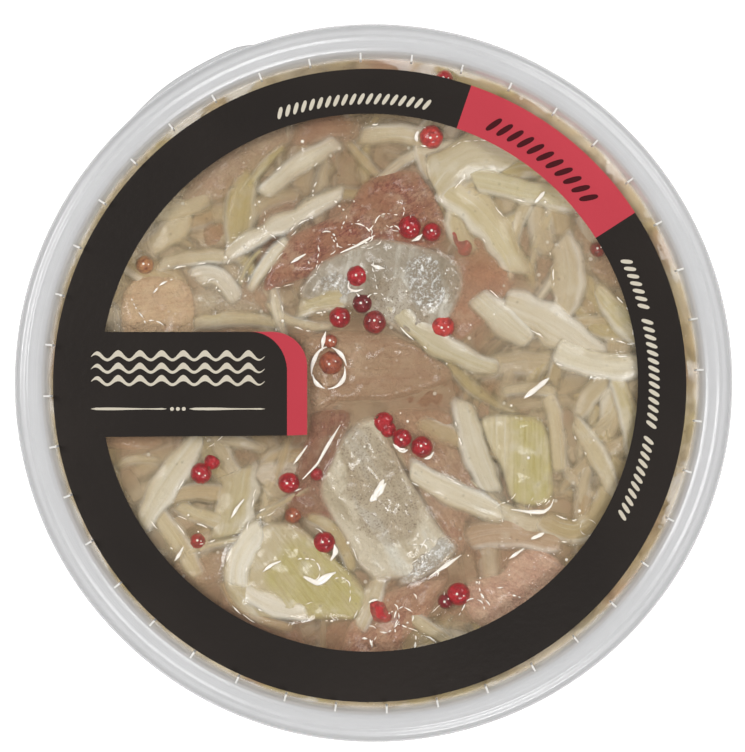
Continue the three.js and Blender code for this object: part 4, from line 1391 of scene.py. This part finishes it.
def plate(outline, low, high):
    """A thin flat piece with the given outline."""
    count = len(outline)
    points = [(x, y, high) for x, y in outline] + [(x, y, low) for x, y in outline]
    area = sum(a[0] * b[1] - b[0] * a[1] for a, b in zip(outline, outline[1:] + outline[:1]))
    faces = [tuple(range(count)), tuple(reversed(range(count, 2 * count)))]
    faces += [((i + 1) % count, i, i + count, (i + 1) % count + count) for i in range(count)]
    return points, faces if area >= 0 else [face[::-1] for face in faces]


def sector(start, end, low, high):
    """Part of the printed ring, as a band of quads."""
    steps = max(4, int(abs(end - start) * 1.2))
    points = []
    for i in range(steps + 1):
        angle = math.radians(start + (end - start) * i / steps)
        inner, outer = ray_end(angle, INNER), ray_end(angle, OUTER)
        points += [(*inner, high), (*outer, high), (*outer, low), (*inner, low)]
    return points, tube(steps, 4, inside_out=True)


def arc(centre, radii, start, end, steps=16):
    angles = [math.radians(start + (end - start) * i / steps) for i in range(steps + 1)]
    return [(centre[0] + radii[0] * math.cos(a), centre[1] + radii[1] * math.sin(a)) for a in angles]


def mark(outline):
    return plate(outline, INK - 0.02, INK + 0.04)


def stroke(radius, angle, long, wide):
    """A small mark that slants across the ring."""
    turn = math.radians(angle)
    x, y = PRINT_CENTRE[0] + radius * math.cos(turn), PRINT_CENTRE[1] + radius * math.sin(turn)
    outline = []
    for i in range(20):
        u, v = (math.copysign(abs(part) ** 0.8, part) for part in polar(1, 2 * math.pi * i / 20))
        across, up = rotated(long / 2 * u, wide / 2 * v, turn + math.radians(150))
        outline.append((x + across, y + up))
    return mark(outline)


def wave_line(x_from, x_to, y, height, width, count):
    """A level wavy line, thicker at its crests."""
    steps = 120
    upper, lower = [], []
    for i in range(steps + 1):
        t = i / steps
        x = x_from + (x_to - x_from) * t
        swing = math.sin(2 * math.pi * count * t)
        taper = min(1, 14 * t + 0.15, 14 * (1 - t) + 0.15)
        half = width / 2 * (0.45 + 0.55 * (0.5 + 0.5 * swing)) * taper
        upper.append((x, y + height * swing + half))
        lower.append((x, y + height * swing - half))
    return mark(lower + upper[::-1])


def make_printed(name, parts, paint, nodes=()):
    make_object(name, *gathered(parts), paint, "print_ink", nodes, sharp=30)


def build_print():
    low = PANEL_TOP - 0.03
    tab_top, tab_foot, tab_end, black_end = 9.5, -9.75, -12.32, -16.05
    corner = 6.46
    left_edge = arc(INNER[:2], (INNER[2] + 0.3, INNER[2] + 0.3), 169.2, 191.6, 20)
    black_edge = arc((-22.8, 2.2), (6.75, 7.3), 90, 0)
    tab = left_edge + [(black_end, tab_foot)] + black_edge[::-1]
    red = black_edge + [(black_end, tab_foot), (tab_end, tab_foot + 0.15)]
    red += arc((tab_end - corner, tab_top - corner), (corner, corner), 0, 90)
    black = [sector(RED_TO, RED_FROM + 360, low, INK), plate(tab, low, INK - 0.02)]
    make_printed("print_black", black, ink_paint("black_ink", (39, 34, 31), (47, 41, 37)), ["lid_print"])
    reds = [sector(RED_FROM, RED_TO, low, INK), plate(red, low, INK)]
    make_printed("print_red", reds, ink_paint("red_ink", (200, 67, 79), (192, 61, 73)), ["lid_print"])

    middle, long, wide = 52.9, 2.3, 0.75
    marks = [stroke(middle, 108.2 - 1.66 * i, long, wide) for i in range(19)]
    marks += [stroke(middle, 25.4 - 1.6 * i, long, wide) for i in range(34) if i not in (7, 22)]
    left, right, rule = -52.4, -20.2, -4.8
    marks += [wave_line(left, right, 4.9 - 2.3 * row, 0.62, 1.15, 8) for row in range(3)]
    marks += [wave_line(start, end, rule, 0, 0.5, 1) for start, end in ((left, -38.4), (-34.2, right))]
    marks += [mark(arc((x, rule), (0.36, 0.36), 0, 345, 15)) for x in (-37.4, -36.3, -35.2)]
    make_printed("print_cream_marks", marks, ink_paint("cream_ink", (218, 210, 192), (208, 198, 178)))
    dark = [stroke(53.4, 64.3 - 2.4 * i, 3.6, 1.05) for i in range(11)]
    make_printed("print_dark_marks", dark, ink_paint("dark_red_ink", (74, 18, 24), (64, 16, 20)))


# Studio

def build_studio():
    bpy.ops.mesh.primitive_plane_add(size=6, location=(0, 0, 0))
    floor = bpy.context.active_object
    floor.name = "floor"
    paint = Paint("floor_paint", Base_Color=(0.86, 0.86, 0.86), Roughness=0.9,
                  Emission_Color=(1, 1, 1), Emission_Strength=0.7)
    floor.data.materials.append(paint.material)

    world = bpy.data.worlds.new("world")
    bpy.context.scene.world = world
    world.use_nodes = True
    tree = world.node_tree
    background = tree.nodes["Background"]
    background.inputs[1].default_value = 1.0
    direction = tree.nodes.new("ShaderNodeTexCoord").outputs["Generated"]
    split = tree.nodes.new("ShaderNodeSeparateXYZ")
    tree.links.new(direction, split.inputs[0])
    dome = tree.nodes.new("ShaderNodeValToRGB")
    tree.links.new(split.outputs[2], dome.inputs[0])
    for stop, position, grey in zip(dome.color_ramp.elements, (0.35, 0.6), (0.38, 0.03)):
        stop.position = position
        stop.color = (grey, grey, grey, 1)
    tree.links.new(dome.outputs[0], background.inputs[0])

    for name, place, size in (("left", (-0.52, 0.14, 0.92), 0.3), ("near", (0.18, -0.5, 0.92), 0.3),
                              ("far", (0.4, 0.45, 0.92), 0.4)):
        light = bpy.data.lights.new(name, "AREA")
        light.shape = "RECTANGLE"
        light.size = light.size_y = size
        light.energy = 3.75
        box = bpy.data.objects.new(name, light)
        bpy.context.scene.collection.objects.link(box)
        box.location = place
        aim = Vector((0, 0, 0.04)) - box.location
        box.rotation_euler = aim.to_track_quat("-Z", "Y").to_euler()


def build_camera():
    distance, lid_plane = 0.9, 0.0555
    picture_height, pixel = 752, 0.1847  # in pixels, and in millimetres on the lid
    data = bpy.data.cameras.new("camera")
    data.sensor_width = 36
    data.lens = data.sensor_width * distance / (picture_height * pixel * MM)
    data.clip_start = 0.05
    camera = bpy.data.objects.new("camera", data)
    bpy.context.scene.collection.objects.link(camera)
    camera.location = (-0.0002, 0.0013, distance + lid_plane)
    bpy.context.scene.camera = camera


bpy.context.scene.view_settings.view_transform = "Standard"
build_tub()
build_lid()
build_print()
flesh, skin, onion, pepper = build_food()
flesh.make("herring_flesh", flesh_paint(), "herring")
skin.make("herring_skin", skin_paint(), "herring")
onion.make("onion_pieces", onion_paint(), "onion")
pepper.make("peppercorns", peppercorn_paint(), "peppercorn")
build_core()
film = build_brine([flesh, skin, onion])
build_beads(film)
build_studio()
build_camera()
